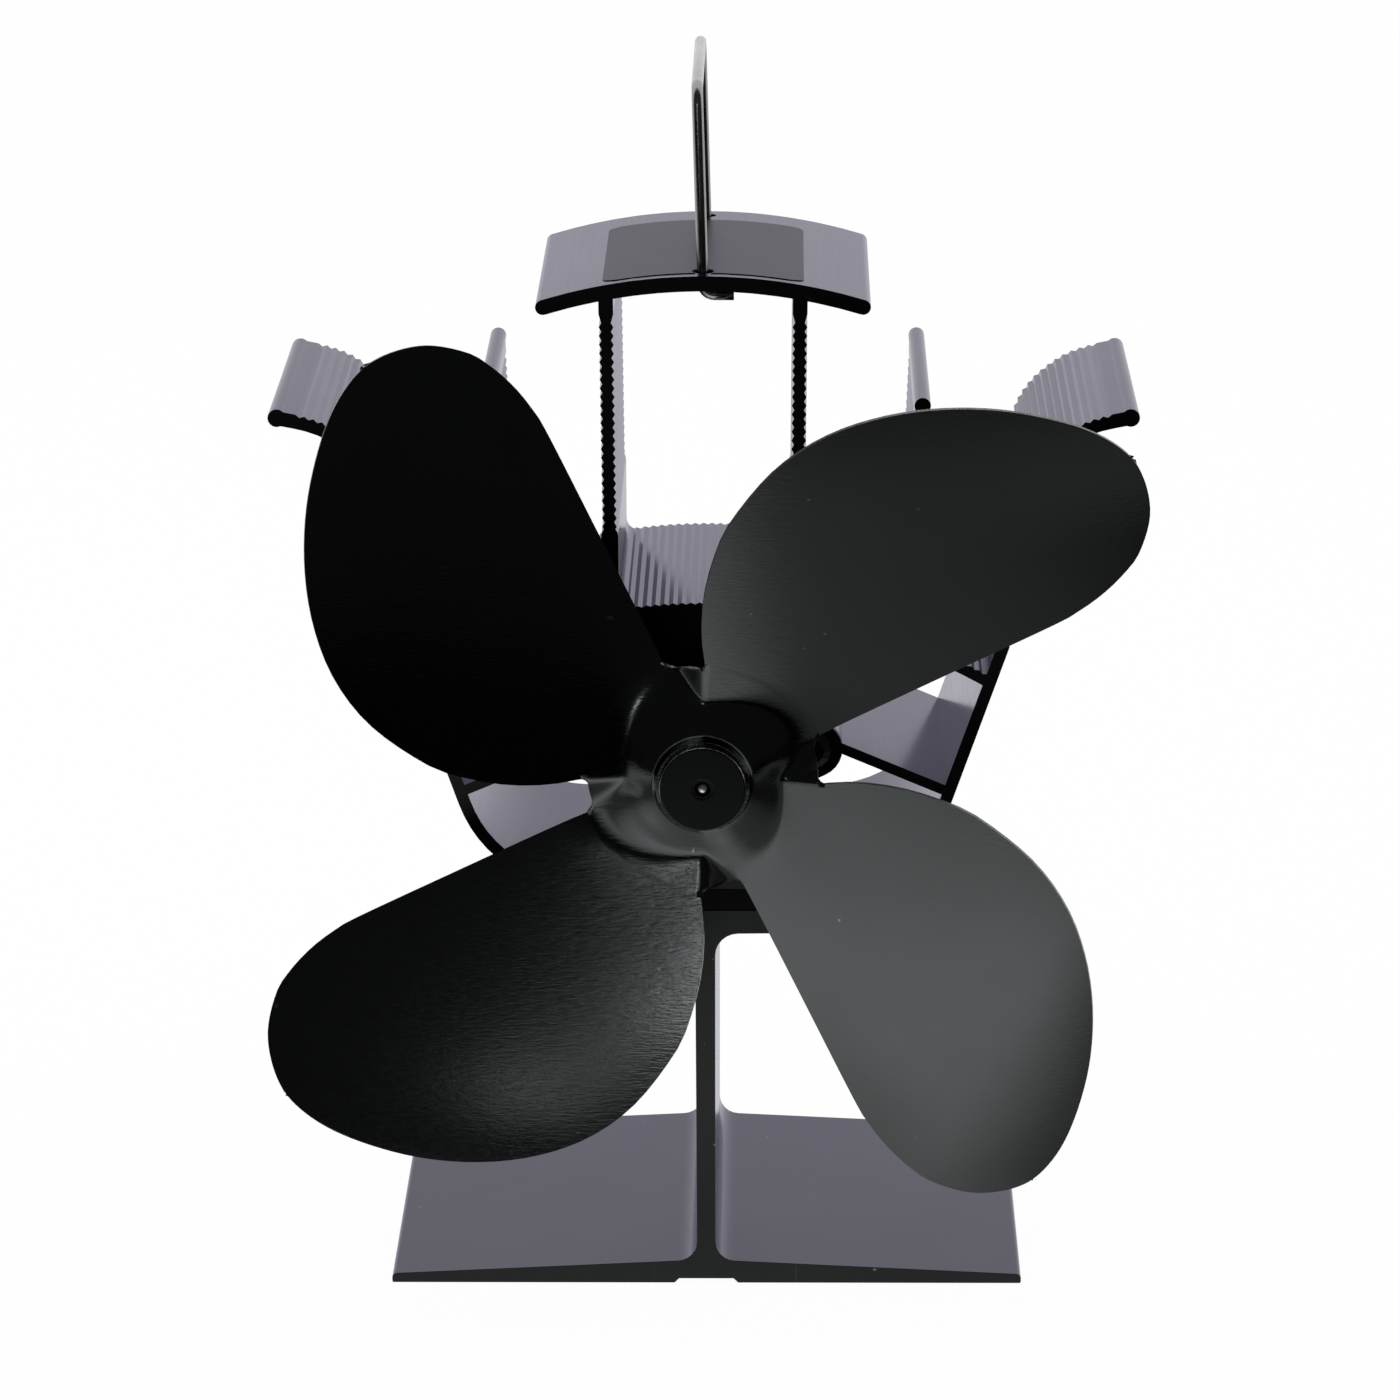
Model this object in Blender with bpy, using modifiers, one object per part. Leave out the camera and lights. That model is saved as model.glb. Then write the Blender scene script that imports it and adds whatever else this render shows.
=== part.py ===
"""Heat-powered stove fan: a four-blade fan that stands on a stove and runs on the stove's own heat.

Metres, +Z up, the blades face -Y. The origin is on the stove's top, under the middle of the whole fan.
"""
import math

import bmesh
import bpy
from mathutils import Matrix, Vector
from mathutils.geometry import delaunay_2d_cdt

# Clearances and cutting
SEAT_GAP = 0.0003
SANDWICH_GAP = 0.00015
RUNNING_GAP = 0.00006
CUT_OVERRUN = 0.002
WELD_DISTANCE = 0.000002
SOFT_EDGE = 0.0003

# Foot extrusion: foot, web and top flange in one profile
FOOT_WIDTH = 0.1108
FOOT_DEPTH = 0.0760
FOOT_EDGE_THICKNESS = 0.0017
FOOT_ROOT_THICKNESS = 0.0043
FOOT_ROOT_FILLET = 0.0036
WEB_FOOT_THICKNESS = 0.0032
WEB_TOP_THICKNESS = 0.0035
FLANGE_WIDTH = 0.0440
FLANGE_THICKNESS = 0.0043
FLANGE_EDGE_THICKNESS = 0.0041
FLANGE_ROOT_FILLET = 0.0040
FLANGE_TOP_HEIGHT = 0.0690
GROOVE_WIDTH = 0.0112
GROOVE_DEPTH = 0.0008
GROOVE_SIDE_RUN = 0.0008

# Thermoelectric sandwich between the flange and the heat sink
MODULE_SIDE = 0.0400
MODULE_PLATE_THICKNESS = 0.0007
MODULE_CORE_THICKNESS = 0.0012
MODULE_CORE_INSET = 0.0008
PAD_THICKNESS = 0.0002
PAD_INSET = 0.0005
FRAME_SIDE_CLEARANCE = 0.0005

# Heat sink extrusion
SINK_DEPTH = 0.0543
MOTOR_AXIS_ABOVE_SINK = 0.0254
CORE_HALF_WIDTH = 0.0140
CORE_FOOT_HALF_WIDTH = 0.0204
CORE_SHOULDER_HALF_WIDTH = 0.0194
CORE_SHOULDER_HEIGHT = 0.0084
CORE_FLARE_HEIGHT = 0.0120
CORE_PAD_DROP = 0.0003
FLOOR_THICKNESS = 0.0021
FLOOR_HALF_WIDTH = 0.0217
WALL_CORNER_RADIUS = 0.0207
WALL_LEAN_DEG = 19.3
WALL_THICKNESS = 0.0021
WALL_JOIN_HEIGHT = 0.0440
WING_THICKNESS = 0.0025
WING_TIP_RADIUS = 0.00155
WING_REACH = 0.0723
WING_RISE = 0.0394
WING_SHARES = (
    (0.0, 0.0), (0.10, 0.35), (0.17, 0.66), (0.30, 0.81), (0.52, 0.915), (0.73, 0.968), (1.0, 1.0))
WING_PLAIN_PITCH_SHARE = 2.5
ROOF_HEIGHT = 0.0511
ROOF_RADIUS = 0.0983
ROOF_THICKNESS = 0.0021
ROOF_HALF_SPAN = 0.0492
CAP_HEIGHT = 0.1079
CAP_RADIUS = 0.0930
CAP_THICKNESS = 0.0026
CAP_HALF_SPAN = 0.0270
LEG_TOP_OFFSET = 0.0164
LEG_FOOT_OFFSET = 0.0160
LEG_THICKNESS = 0.0025
LEG_COLLAR_THICKNESS = 0.0029
LEG_COLLAR_HEIGHT = 0.0629
LEG_RIB_TOP_DROP = 0.0050
LEG_FILLET = 0.0022
FIN_TOP_OFFSET = 0.0371
FIN_FOOT_OFFSET = 0.0352
FIN_TOP_HEIGHT = 0.0855
FIN_THICKNESS = 0.0024
FIN_TIP_RADIUS = 0.00140
FIN_PLAIN_LENGTH = 0.0030
RIB_PITCH = 0.0015
RIB_DEPTH = 0.00042
ROOF_RIB_DEPTH = 0.00034
MOTOR_RING_RADIUS = 0.0150
BOSS_RADIUS = 0.0051
BOSS_OFFSET = 0.0186
SPOKE_THICKNESS = 0.0018
SPOKE_START_RISE = 0.0018
SPOKE_END_DROP = 0.0078
SPOKE_END_OFFSET = 0.0412
NECK_HEIGHT_SHARE = 0.85
CORE_TOP_SHARE = 0.75

# Clamp screws that hold the heat sink down on the module
CLAMP_SCREW_OFFSET = 0.0165
CLAMP_SCREW_EDGE = 0.0040
CLAMP_SHANK_RADIUS = 0.0014
CLAMP_HEAD_RADIUS = 0.0027
CLAMP_HEAD_HEIGHT = 0.0022
CLAMP_SOCKET_RADIUS = 0.0014
CLAMP_SOCKET_DEPTH = 0.0013
CLAMP_THREAD_LENGTH = 0.0070
WASHER_RADIUS = 0.0026
WASHER_THICKNESS = 0.0008
WASHER_SPLIT = 0.0005
BUSH_FLANGE_RADIUS = 0.0033
BUSH_FLANGE_THICKNESS = 0.0010
BUSH_SLEEVE_WALL = 0.0005

# Strip in the groove under the foot, and its screw
STRIP_WIDTH = 0.0092
STRIP_LENGTH = 0.0560
STRIP_THICKNESS = 0.0004
STRIP_FRONT_INSET = 0.0040
STRIP_SCREW_INSET = 0.0060
STRIP_SCREW_HEAD_RADIUS = 0.0022
STRIP_SCREW_SHANK_RADIUS = 0.0012
STRIP_SCREW_LENGTH = 0.0040

# Motor
MOTOR_RADIUS = 0.0122
MOTOR_LENGTH = 0.0130
MOTOR_WALL = 0.0010
MOTOR_BOSS_RADIUS = 0.0030
MOTOR_BOSS_LENGTH = 0.0014
MOTOR_BORE_CLEARANCE = 0.0004
MOTOR_SCREW_CIRCLE = 0.0085
MOTOR_SCREW_SHANK_RADIUS = 0.0009
MOTOR_SCREW_HEAD_RADIUS = 0.0018
MOTOR_SCREW_HEAD_HEIGHT = 0.0012
MOTOR_SCREW_GRIP = 0.0010
MAGNET_THICKNESS = 0.0020
MAGNET_LENGTH = 0.0080
MAGNET_ARC_DEG = 140.0
MAGNET_START = 0.0028
ARMATURE_AIR_GAP = 0.0004
ARMATURE_LENGTH = 0.0050
ARMATURE_START = 0.0043
ARMATURE_HUB_RADIUS = 0.0032
ARMATURE_POLE_WIDTH = 0.0026
ARMATURE_SHOE_THICKNESS = 0.0012
ARMATURE_SHOE_ARC_DEG = 92.0
COMMUTATOR_RADIUS = 0.0023
COMMUTATOR_LENGTH = 0.0018
END_CAP_THICKNESS = 0.0022
END_CAP_HUB_RADIUS = 0.0036
END_CAP_HUB_LENGTH = 0.0014
BUSH_WALL = 0.0010
BUSH_LENGTH = 0.0020
TERMINAL_OFFSET = 0.0080
TERMINAL_WIDTH = 0.0022
TERMINAL_THICKNESS = 0.0005
TERMINAL_LENGTH = 0.0036

# Plate that holds the motor in the heat sink
CLAMP_PLATE_THICKNESS = 0.0012
CLAMP_PLATE_RADIUS = 0.0128
EAR_SCREW_SHANK_RADIUS = 0.0013
EAR_SCREW_HEAD_RADIUS = 0.0034
EAR_SCREW_HEAD_HEIGHT = 0.0019
EAR_SCREW_LENGTH = 0.0085
CROSS_SLOT_WIDTH = 0.0007
CROSS_SLOT_DEPTH_SHARE = 0.55
CROSS_SLOT_REACH_SHARE = 0.55
HEAD_DOME_DEGREES = (0.0, 35.0, 65.0, 82.0)

# Rotor
SHAFT_RADIUS = 0.0010
SHAFT_END_DEGREES = (0.0, 30.0, 60.0, 90.0)
NOSE_FORWARD = 0.0255
NOSE_RADIUS = 0.00735
NOSE_FLANGE_THICKNESS = 0.0012
NOSE_EDGE = 0.00025
NOSE_RECESS_RADIUS = 0.0018
NOSE_RECESS_DEPTH = 0.0004
SLEEVE_RADIUS = 0.0032
SLEEVE_BACK_FORWARD = 0.0060
HUB_NUT_RADIUS = 0.0056
HUB_NUT_THICKNESS = 0.0030
SHEET_THICKNESS = 0.0008

# Pressed blade sheet, in shares of the blade's reach along its own straight edge
BLADE_COUNT = 4
BLADE_REACH = 0.0890
BLADE_LINE_DEG = 25.75
BLADE_STRAIGHT_OFFSET = 0.0150
BLADE_PITCH_SHARE = 0.274
BLADE_CAMBER = 0.0007
BLADE_BULGE_SHARES = (
    (0.096, 0.180), (0.125, 0.262), (0.167, 0.336), (0.222, 0.401), (0.277, 0.447), (0.389, 0.502),
    (0.499, 0.522), (0.610, 0.511), (0.722, 0.474), (0.832, 0.412), (0.932, 0.326), (0.986, 0.248),
    (1.000, 0.180))
BLADE_STRAIGHT_SHARES = (
    (1.000, 0.180), (0.981, 0.101), (0.932, 0.038), (0.887, 0.010), (0.832, -0.011), (0.777, -0.0225),
    (0.721, -0.0270), (0.500, -0.0275), (0.300, -0.0275), (0.150, -0.0275))
BLADE_COLUMNS = 9
GAP_COLUMNS = 3
BLADE_RINGS = 16
BLADE_CROWDING_SHARE = 1.5
HUB_LAND_RADIUS = 0.0082
HUB_DOME_EDGE_RADIUS = 0.0150
HUB_SKIRT_RADIUS = 0.0194
HUB_DOME_DROP = 0.0075
HUB_SKIRT_SHARE = 0.28
HUB_CREASE = 0.0005
HUB_LAND_RINGS = 1
HUB_DOME_RINGS = 5
HUB_SKIRT_RINGS = 4

# Wire handle
HANDLE_WIRE_RADIUS = 0.0010
HANDLE_RISE = 0.0324
HANDLE_EDGE_INSET = 0.0036
HANDLE_CORNER_RADIUS = 0.0030
HANDLE_HOOK_RADIUS = 0.0020
HANDLE_HOOK_REACH = 0.0052
HANDLE_LEAN = 0.0009
HANDLE_SLOT_LENGTH = 0.0034
HANDLE_SLOT_WIDTH = 0.0027

# Leads from the module to the motor, kept behind the heat sink's core
LEAD_RADIUS = 0.00055
LEAD_SPACING = 0.0045
LEAD_BULGE = 0.0028

# A lead's route, in shares of the way out to its terminal, of the bulge, of the way forward and of the rise
LEAD_ROUTE_SHARES = (
    (0.00, 0.50, 0.00, 0.00), (0.04, 1.00, 0.00, 0.09), (0.16, 1.10, 0.00, 0.28), (0.44, 0.80, 0.00, 0.53),
    (0.72, -0.40, 0.00, 0.70), (0.93, 0.00, 0.24, 0.83), (1.00, 0.00, 0.50, 0.94), (1.00, 0.00, 0.76, 1.00),
    (1.00, 0.00, 1.00, 1.00))

# Facets
ARC_STEP_DEG = 15.0
OUTLINE_TOLERANCE = 0.000006
FLAT_DEGREES = 0.2
ROUND_STEPS = 36
CAN_STEPS = 26
NUT_STEPS = 24
SMALL_ROUND_STEPS = 14
TINY_ROUND_STEPS = 12
BAR_END_STEPS = 16
SMOOTH_STRIDE = 3
SLOT_END_SHARE = 0.99

# Heights and places that follow from the sizes above
SANDWICH_HEIGHT = (2.0 * PAD_THICKNESS + 2.0 * MODULE_PLATE_THICKNESS + MODULE_CORE_THICKNESS
                   + 6.0 * SANDWICH_GAP + CORE_PAD_DROP)
SINK_BOTTOM = FLANGE_TOP_HEIGHT + SANDWICH_HEIGHT
AXIS_HEIGHT = SINK_BOTTOM + MOTOR_AXIS_ABOVE_SINK
CAP_TOP = SINK_BOTTOM + CAP_HEIGHT
CAP_UNDERSIDE = CAP_TOP - CAP_THICKNESS
ROOF_TOP = SINK_BOTTOM + ROOF_HEIGHT
BLADE_WIDTH = BLADE_REACH * (max(across for _, across in BLADE_BULGE_SHARES) - BLADE_STRAIGHT_SHARES[-1][1])
BLADE_FORWARD = BLADE_STRAIGHT_OFFSET + BLADE_PITCH_SHARE * BLADE_WIDTH
FRONT = (BLADE_FORWARD - FOOT_DEPTH) / 2.0
FOOT_BACK = FRONT + FOOT_DEPTH
SINK_BACK = FRONT + SINK_DEPTH
SINK_MIDDLE = FRONT + SINK_DEPTH / 2.0
MOTOR_BORE_RADIUS = MOTOR_RADIUS + MOTOR_BORE_CLEARANCE
CLAMP_HOLE_RADIUS = CLAMP_SHANK_RADIUS + BUSH_SLEEVE_WALL + 2.0 * SEAT_GAP
MODULE_MIDDLE_HEIGHT = (FLANGE_TOP_HEIGHT + PAD_THICKNESS + MODULE_PLATE_THICKNESS + 3.0 * SANDWICH_GAP
                        + MODULE_CORE_THICKNESS / 2.0)
TERMINAL_BACK = FRONT + MOTOR_LENGTH + SEAT_GAP + END_CAP_THICKNESS + TERMINAL_LENGTH
HANDLE_FRONT = FRONT + HANDLE_EDGE_INSET
HANDLE_BACK = SINK_BACK - HANDLE_EDGE_INSET
HANDLE_PIVOT_HEIGHT = CAP_TOP - CAP_THICKNESS / 2.0

# Colours: linear base colour, roughness, metallic
FINISHES = {
    "black_anodised": ((0.010, 0.011, 0.012), 0.42, 0.6),
    "blade_black": ((0.008, 0.009, 0.009), 0.32, 0.6),
    "hub_black": ((0.012, 0.013, 0.013), 0.35, 0.7),
    "steel": ((0.55, 0.55, 0.55), 0.25, 1.0),
    "motor_zinc": ((0.45, 0.45, 0.44), 0.35, 0.9),
    "brass": ((0.60, 0.44, 0.18), 0.30, 1.0),
    "ceramic_white": ((0.80, 0.80, 0.78), 0.55, 0.0),
    "module_grey": ((0.20, 0.20, 0.21), 0.60, 0.3),
    "graphite": ((0.03, 0.03, 0.032), 0.55, 0.1),
    "insulation_black": ((0.012, 0.012, 0.012), 0.85, 0.0),
    "black_plastic": ((0.014, 0.014, 0.014), 0.50, 0.0),
    "magnet_dark": ((0.05, 0.05, 0.052), 0.70, 0.2),
    "bimetal": ((0.45, 0.38, 0.30), 0.40, 0.9),
    "red_sleeve": ((0.45, 0.02, 0.02), 0.50, 0.0),
    "black_sleeve": ((0.012, 0.012, 0.012), 0.50, 0.0),
}


def clear_scene():
    for thing in list(bpy.data.objects):
        bpy.data.objects.remove(thing, do_unlink=True)


def new_collection(name):
    group = bpy.data.collections.new(name)
    bpy.context.scene.collection.children.link(group)
    return group


def new_material(name):
    colour, roughness, metallic = FINISHES[name]
    finish = bpy.data.materials.get(name) or bpy.data.materials.new(name)
    finish.use_nodes = True
    shader = finish.node_tree.nodes["Principled BSDF"]
    shader.inputs["Base Color"].default_value = (*colour, 1.0)
    shader.inputs["Roughness"].default_value = roughness
    shader.inputs["Metallic"].default_value = metallic
    return finish


def add_mesh(name, mesh, group, finish=None):
    thing = bpy.data.objects.new(name, mesh)
    group.objects.link(thing)
    if finish:
        mesh.materials.clear()
        mesh.materials.append(new_material(finish))
        mesh.shade_smooth()
        mesh.set_sharp_from_angle(angle=math.radians(ARC_STEP_DEG * 2.0))
    else:
        thing.hide_render = True
        thing.display_type = "WIRE"
    return thing


def curve_to_mesh(curve, matrix):
    """The evaluated mesh of a curve, with its loose caps welded to its sides."""
    guide = bpy.data.objects.new(curve.name, curve)
    bpy.context.scene.collection.objects.link(guide)
    bpy.context.view_layer.update()
    depsgraph = bpy.context.evaluated_depsgraph_get()
    mesh = bpy.data.meshes.new_from_object(guide.evaluated_get(depsgraph))
    shape = bmesh.new()
    shape.from_mesh(mesh)
    bmesh.ops.remove_doubles(shape, verts=shape.verts, dist=WELD_DISTANCE)
    bmesh.ops.recalc_face_normals(shape, faces=shape.faces)
    shape.transform(matrix)
    shape.to_mesh(mesh)
    shape.free()
    bpy.data.objects.remove(guide, do_unlink=True)
    bpy.data.curves.remove(curve)
    return mesh


def extruded(name, outlines, low, high, group, finish=None, upright=True):
    """A flat outline with holes, extruded along Y when upright and along Z when flat."""
    curve = bpy.data.curves.new(name, "CURVE")
    curve.dimensions = "2D"
    curve.fill_mode = "BOTH"
    curve.extrude = (high - low) / 2.0
    for outline in outlines:
        spline = curve.splines.new("POLY")
        spline.points.add(len(outline) - 1)
        for point, (x, y) in zip(spline.points, outline):
            point.co = (x, y, 0.0, 1.0)
        spline.use_cyclic_u = True
    middle = (high + low) / 2.0
    if upright:
        matrix = Matrix.Translation((0.0, middle, 0.0)) @ Matrix.Rotation(math.pi / 2.0, 4, "X")
    else:
        matrix = Matrix.Translation((0.0, 0.0, middle))
    return add_mesh(name, curve_to_mesh(curve, matrix), group, finish)


def signed_area(outline):
    return sum(a[0] * b[1] - b[0] * a[1] for a, b in zip(outline, outline[1:] + outline[:1])) / 2.0


def merged(name, outlines, low, high, group, finish):
    """Overlapping flat outlines, merged into one profile in the (x, z) plane and extruded along Y."""
    points = []
    loops = []
    for outline in outlines:
        if signed_area(outline) < 0.0:
            outline = outline[::-1]
        loops.append(list(range(len(points), len(points) + len(outline))))
        points += [Vector(point) for point in outline]
    corners, _, faces, _, _, members = delaunay_2d_cdt(points, [], loops, 1, WELD_DISTANCE)
    shape = bmesh.new()
    places = [shape.verts.new((corner.x, low, corner.y)) for corner in corners]
    for face, covered_by in zip(faces, members):
        if covered_by:
            shape.faces.new([places[index] for index in face])
    bmesh.ops.delete(shape, geom=[vert for vert in shape.verts if not vert.link_faces], context="VERTS")
    bmesh.ops.dissolve_limit(shape, angle_limit=math.radians(FLAT_DEGREES), verts=shape.verts,
                             edges=shape.edges)
    grown = bmesh.ops.extrude_face_region(shape, geom=shape.faces[:])["geom"]
    bmesh.ops.translate(shape, vec=(0.0, high - low, 0.0),
                        verts=[item for item in grown if isinstance(item, bmesh.types.BMVert)])
    bmesh.ops.recalc_face_normals(shape, faces=shape.faces)
    mesh = bpy.data.meshes.new(name)
    shape.to_mesh(mesh)
    shape.free()
    return add_mesh(name, mesh, group, finish)


def turned(name, profile, place, group, finish, steps=SMALL_ROUND_STEPS, upright=False):
    """A profile of (radius, forward) points, turned about an axis that faces the front, or up if upright."""
    mesh = bpy.data.meshes.new(name)
    points = [(radius, 0.0, forward) for radius, forward in profile]
    closed = min(radius for radius, forward in profile) > 0.0
    edges = [(index, index + 1) for index in range(len(points) - 1)]
    if closed:
        edges.append((len(points) - 1, 0))
    mesh.from_pydata(points, edges, [])
    thing = bpy.data.objects.new(name, mesh)
    group.objects.link(thing)
    screw = thing.modifiers.new("Turn", "SCREW")
    screw.angle = math.radians(360.0)
    screw.steps = steps
    screw.render_steps = steps
    screw.use_merge_vertices = True
    screw.merge_threshold = WELD_DISTANCE
    screw.use_normal_calculate = False
    if not upright:
        thing.rotation_euler = (math.pi / 2.0, 0.0, 0.0)
    thing.location = place
    mesh.materials.append(new_material(finish))
    return thing


def cylinder(name, radius, start, end, group, steps=SMALL_ROUND_STEPS):
    """A plain cylinder between two points, as a cutter."""
    start, end = Vector(start), Vector(end)
    shape = bmesh.new()
    bmesh.ops.create_cone(shape, cap_ends=True, segments=steps, radius1=radius, radius2=radius,
                          depth=(end - start).length)
    turn = Vector((0.0, 0.0, 1.0)).rotation_difference(end - start).to_matrix().to_4x4()
    shape.transform(Matrix.Translation((start + end) / 2.0) @ turn)
    mesh = bpy.data.meshes.new(name)
    shape.to_mesh(mesh)
    shape.free()
    return add_mesh(name, mesh, group)


def block(name, low, high, group, finish=None):
    """A box between two corners."""
    low, high = Vector(low), Vector(high)
    shape = bmesh.new()
    bmesh.ops.create_cube(shape, size=1.0)
    size = high - low
    shape.transform(Matrix.Translation((low + high) / 2.0) @ Matrix.Diagonal((*size, 1.0)))
    mesh = bpy.data.meshes.new(name)
    shape.to_mesh(mesh)
    shape.free()
    return add_mesh(name, mesh, group, finish)


def tube(name, points, radius, group, finish, sides=2):
    """A wire along points, with filled ends."""
    curve = bpy.data.curves.new(name, "CURVE")
    curve.dimensions = "3D"
    curve.bevel_depth = radius
    curve.bevel_resolution = sides
    curve.use_fill_caps = True
    spline = curve.splines.new("POLY")
    spline.points.add(len(points) - 1)
    for point, place in zip(spline.points, points):
        point.co = (*place, 1.0)
    return add_mesh(name, curve_to_mesh(curve, Matrix.Identity(4)), group, finish)


def cut(thing, cutter):
    step = thing.modifiers.new("Cut " + cutter.name, "BOOLEAN")
    step.operation = "DIFFERENCE"
    step.solver = "EXACT"
    step.object = cutter


def rounded(corners):
    """An outline whose corners, given as (x, y, radius), are turned into arcs."""
    outline = []
    count = len(corners)
    for index, (x, y, radius) in enumerate(corners):
        corner = Vector((x, y))
        if radius <= 0.0:
            outline.append(corner)
            continue
        before = (Vector(corners[index - 1][:2]) - corner).normalized()
        after = (Vector(corners[(index + 1) % count][:2]) - corner).normalized()
        half = before.angle(after) / 2.0
        centre = corner + (before + after).normalized() * (radius / math.sin(half))
        first = corner + before * (radius / math.tan(half)) - centre
        turn = math.pi - 2.0 * half
        side = 1.0 if before.x * after.y - before.y * after.x < 0.0 else -1.0
        steps = max(2, math.ceil(math.degrees(turn) / ARC_STEP_DEG))
        for step in range(steps + 1):
            outline.append(centre + Matrix.Rotation(side * turn * step / steps, 2) @ first)
    return outline


def mirrored(outline):
    return [Vector((-point[0], point[1])) for point in reversed(outline)]


def circle(x, y, radius, steps=SMALL_ROUND_STEPS):
    turn = 2.0 * math.pi / steps
    return [Vector((x + radius * math.cos(turn * step), y + radius * math.sin(turn * step)))
            for step in range(steps)]


def arc(centre, radius, start_deg, end_deg, steps):
    points = []
    for step in range(steps + 1):
        angle = math.radians(start_deg + (end_deg - start_deg) * step / steps)
        points.append(centre + Vector((math.cos(angle), math.sin(angle))) * radius)
    return points


def smooth_line(points, spans):
    """A Catmull-Rom line through the points, ends included."""
    points = [Vector(point) for point in points]
    padded = [2.0 * points[0] - points[1]] + points + [2.0 * points[-1] - points[-2]]
    line = []
    for index in range(len(points) - 1):
        a, b, c, d = padded[index:index + 4]
        for step in range(spans):
            t = step / spans
            line.append(0.5 * (2.0 * b + (c - a) * t + (2.0 * a - 5.0 * b + 4.0 * c - d) * t ** 2
                               + (3.0 * b - a - 3.0 * c + d) * t ** 3))
    line.append(points[-1])
    return line


def along(track, distance):
    """The point and the left-hand normal at a distance along a track."""
    for start, end in zip(track, track[1:]):
        length = (end - start).length
        if distance <= length or end is track[-1]:
            direction = (end - start).normalized()
            return start + direction * distance, Vector((-direction.y, direction.x))
        distance -= length


def track_length(track):
    return sum((end - start).length for start, end in zip(track, track[1:]))


def thinned(outline):
    """The outline without the points that lie on the line between their neighbours."""
    kept = []
    for index, point in enumerate(outline):
        before = kept[-1] if kept else outline[index - 1]
        after = outline[(index + 1) % len(outline)]
        chord = after - before
        step = point - before
        off = abs(chord.x * step.y - chord.y * step.x) / max(chord.length, WELD_DISTANCE)
        if off > OUTLINE_TOLERANCE:
            kept.append(point)
    return kept


def bar(track, thickness, ribs=(), rib_depth=RIB_DEPTH, rib_start=0.0, rib_end=None, end_thickness=None):
    """The outline of a bar along a track, ribbed between two distances on the sides named in ribs."""
    end_thickness = end_thickness or thickness
    length = track_length(track)
    rib_end = length if rib_end is None else rib_end
    half_pitches = 2 * max(1, round(length / RIB_PITCH))
    spacing = length / half_pitches
    sides = {"left": [], "right": []}
    for index in range(half_pitches + 1):
        distance = index * spacing
        point, normal = along(track, distance)
        growth = max(0.0, (distance - rib_start) / (length - rib_start)) * (end_thickness - thickness)
        for side, sign in (("left", 1.0), ("right", -1.0)):
            half = (thickness + growth) / 2.0
            in_ribs = side in ribs and rib_start <= distance <= rib_end
            if in_ribs and index % 2:
                half -= rib_depth
            if in_ribs or index % SMOOTH_STRIDE == 0 or index == half_pitches:
                sides[side].append(point + normal * sign * half)
    return thinned(sides["right"] + sides["left"][::-1])


def straight_bar(start, end, start_thickness, end_thickness):
    start, end = Vector(start), Vector(end)
    direction = (end - start).normalized()
    normal = Vector((-direction.y, direction.x)) / 2.0
    return [start - normal * start_thickness, end - normal * end_thickness,
            end + normal * end_thickness, start + normal * start_thickness]


def corner_fillet(corner, first, second, radius):
    """The concave wedge between two surfaces that leave a corner in two directions."""
    corner = Vector(corner)
    first, second = Vector(first).normalized(), Vector(second).normalized()
    half = first.angle(second) / 2.0
    middle = (first + second).normalized()
    centre = corner + middle * (radius / math.sin(half))
    reach = radius / math.tan(half)
    start = corner + first * reach - centre
    turn = math.pi - 2.0 * half
    side = 1.0 if start.x * (corner - centre).y - start.y * (corner - centre).x > 0.0 else -1.0
    steps = max(3, math.ceil(math.degrees(turn) / ARC_STEP_DEG))
    wedge = [centre + Matrix.Rotation(side * turn * step / steps, 2) @ start for step in range(steps + 1)]
    sunk = middle * (radius / 2.0)
    return wedge + [corner + second * reach - sunk, corner - sunk, corner + first * reach - sunk]


def arch_height(top, radius, x):
    return top - radius + math.sqrt(radius ** 2 - x ** 2)


def shell_track():
    """Middle line of the right half of the sink's shell: floor, corner, leaning wall and wing."""
    level = SINK_BOTTOM + FLOOR_THICKNESS / 2.0
    turn_centre = Vector((FLOOR_HALF_WIDTH, level + WALL_CORNER_RADIUS))
    corner = arc(turn_centre, WALL_CORNER_RADIUS, -90.0, -WALL_LEAN_DEG, 10)
    lean = Vector((math.sin(math.radians(WALL_LEAN_DEG)), math.cos(math.radians(WALL_LEAN_DEG))))
    join = corner[-1] + lean * ((SINK_BOTTOM + WALL_JOIN_HEIGHT - corner[-1].y) / lean.y)
    tip = Vector((WING_REACH, SINK_BOTTOM + WALL_JOIN_HEIGHT + WING_RISE))
    out = tip.x - join.x
    up = tip.y - join.y
    wing = smooth_line([(join.x + out * x, join.y + up * y) for x, y in WING_SHARES], 5)
    start = Vector((CORE_HALF_WIDTH / 2.0, level))
    return [start] + corner + wing, join


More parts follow.
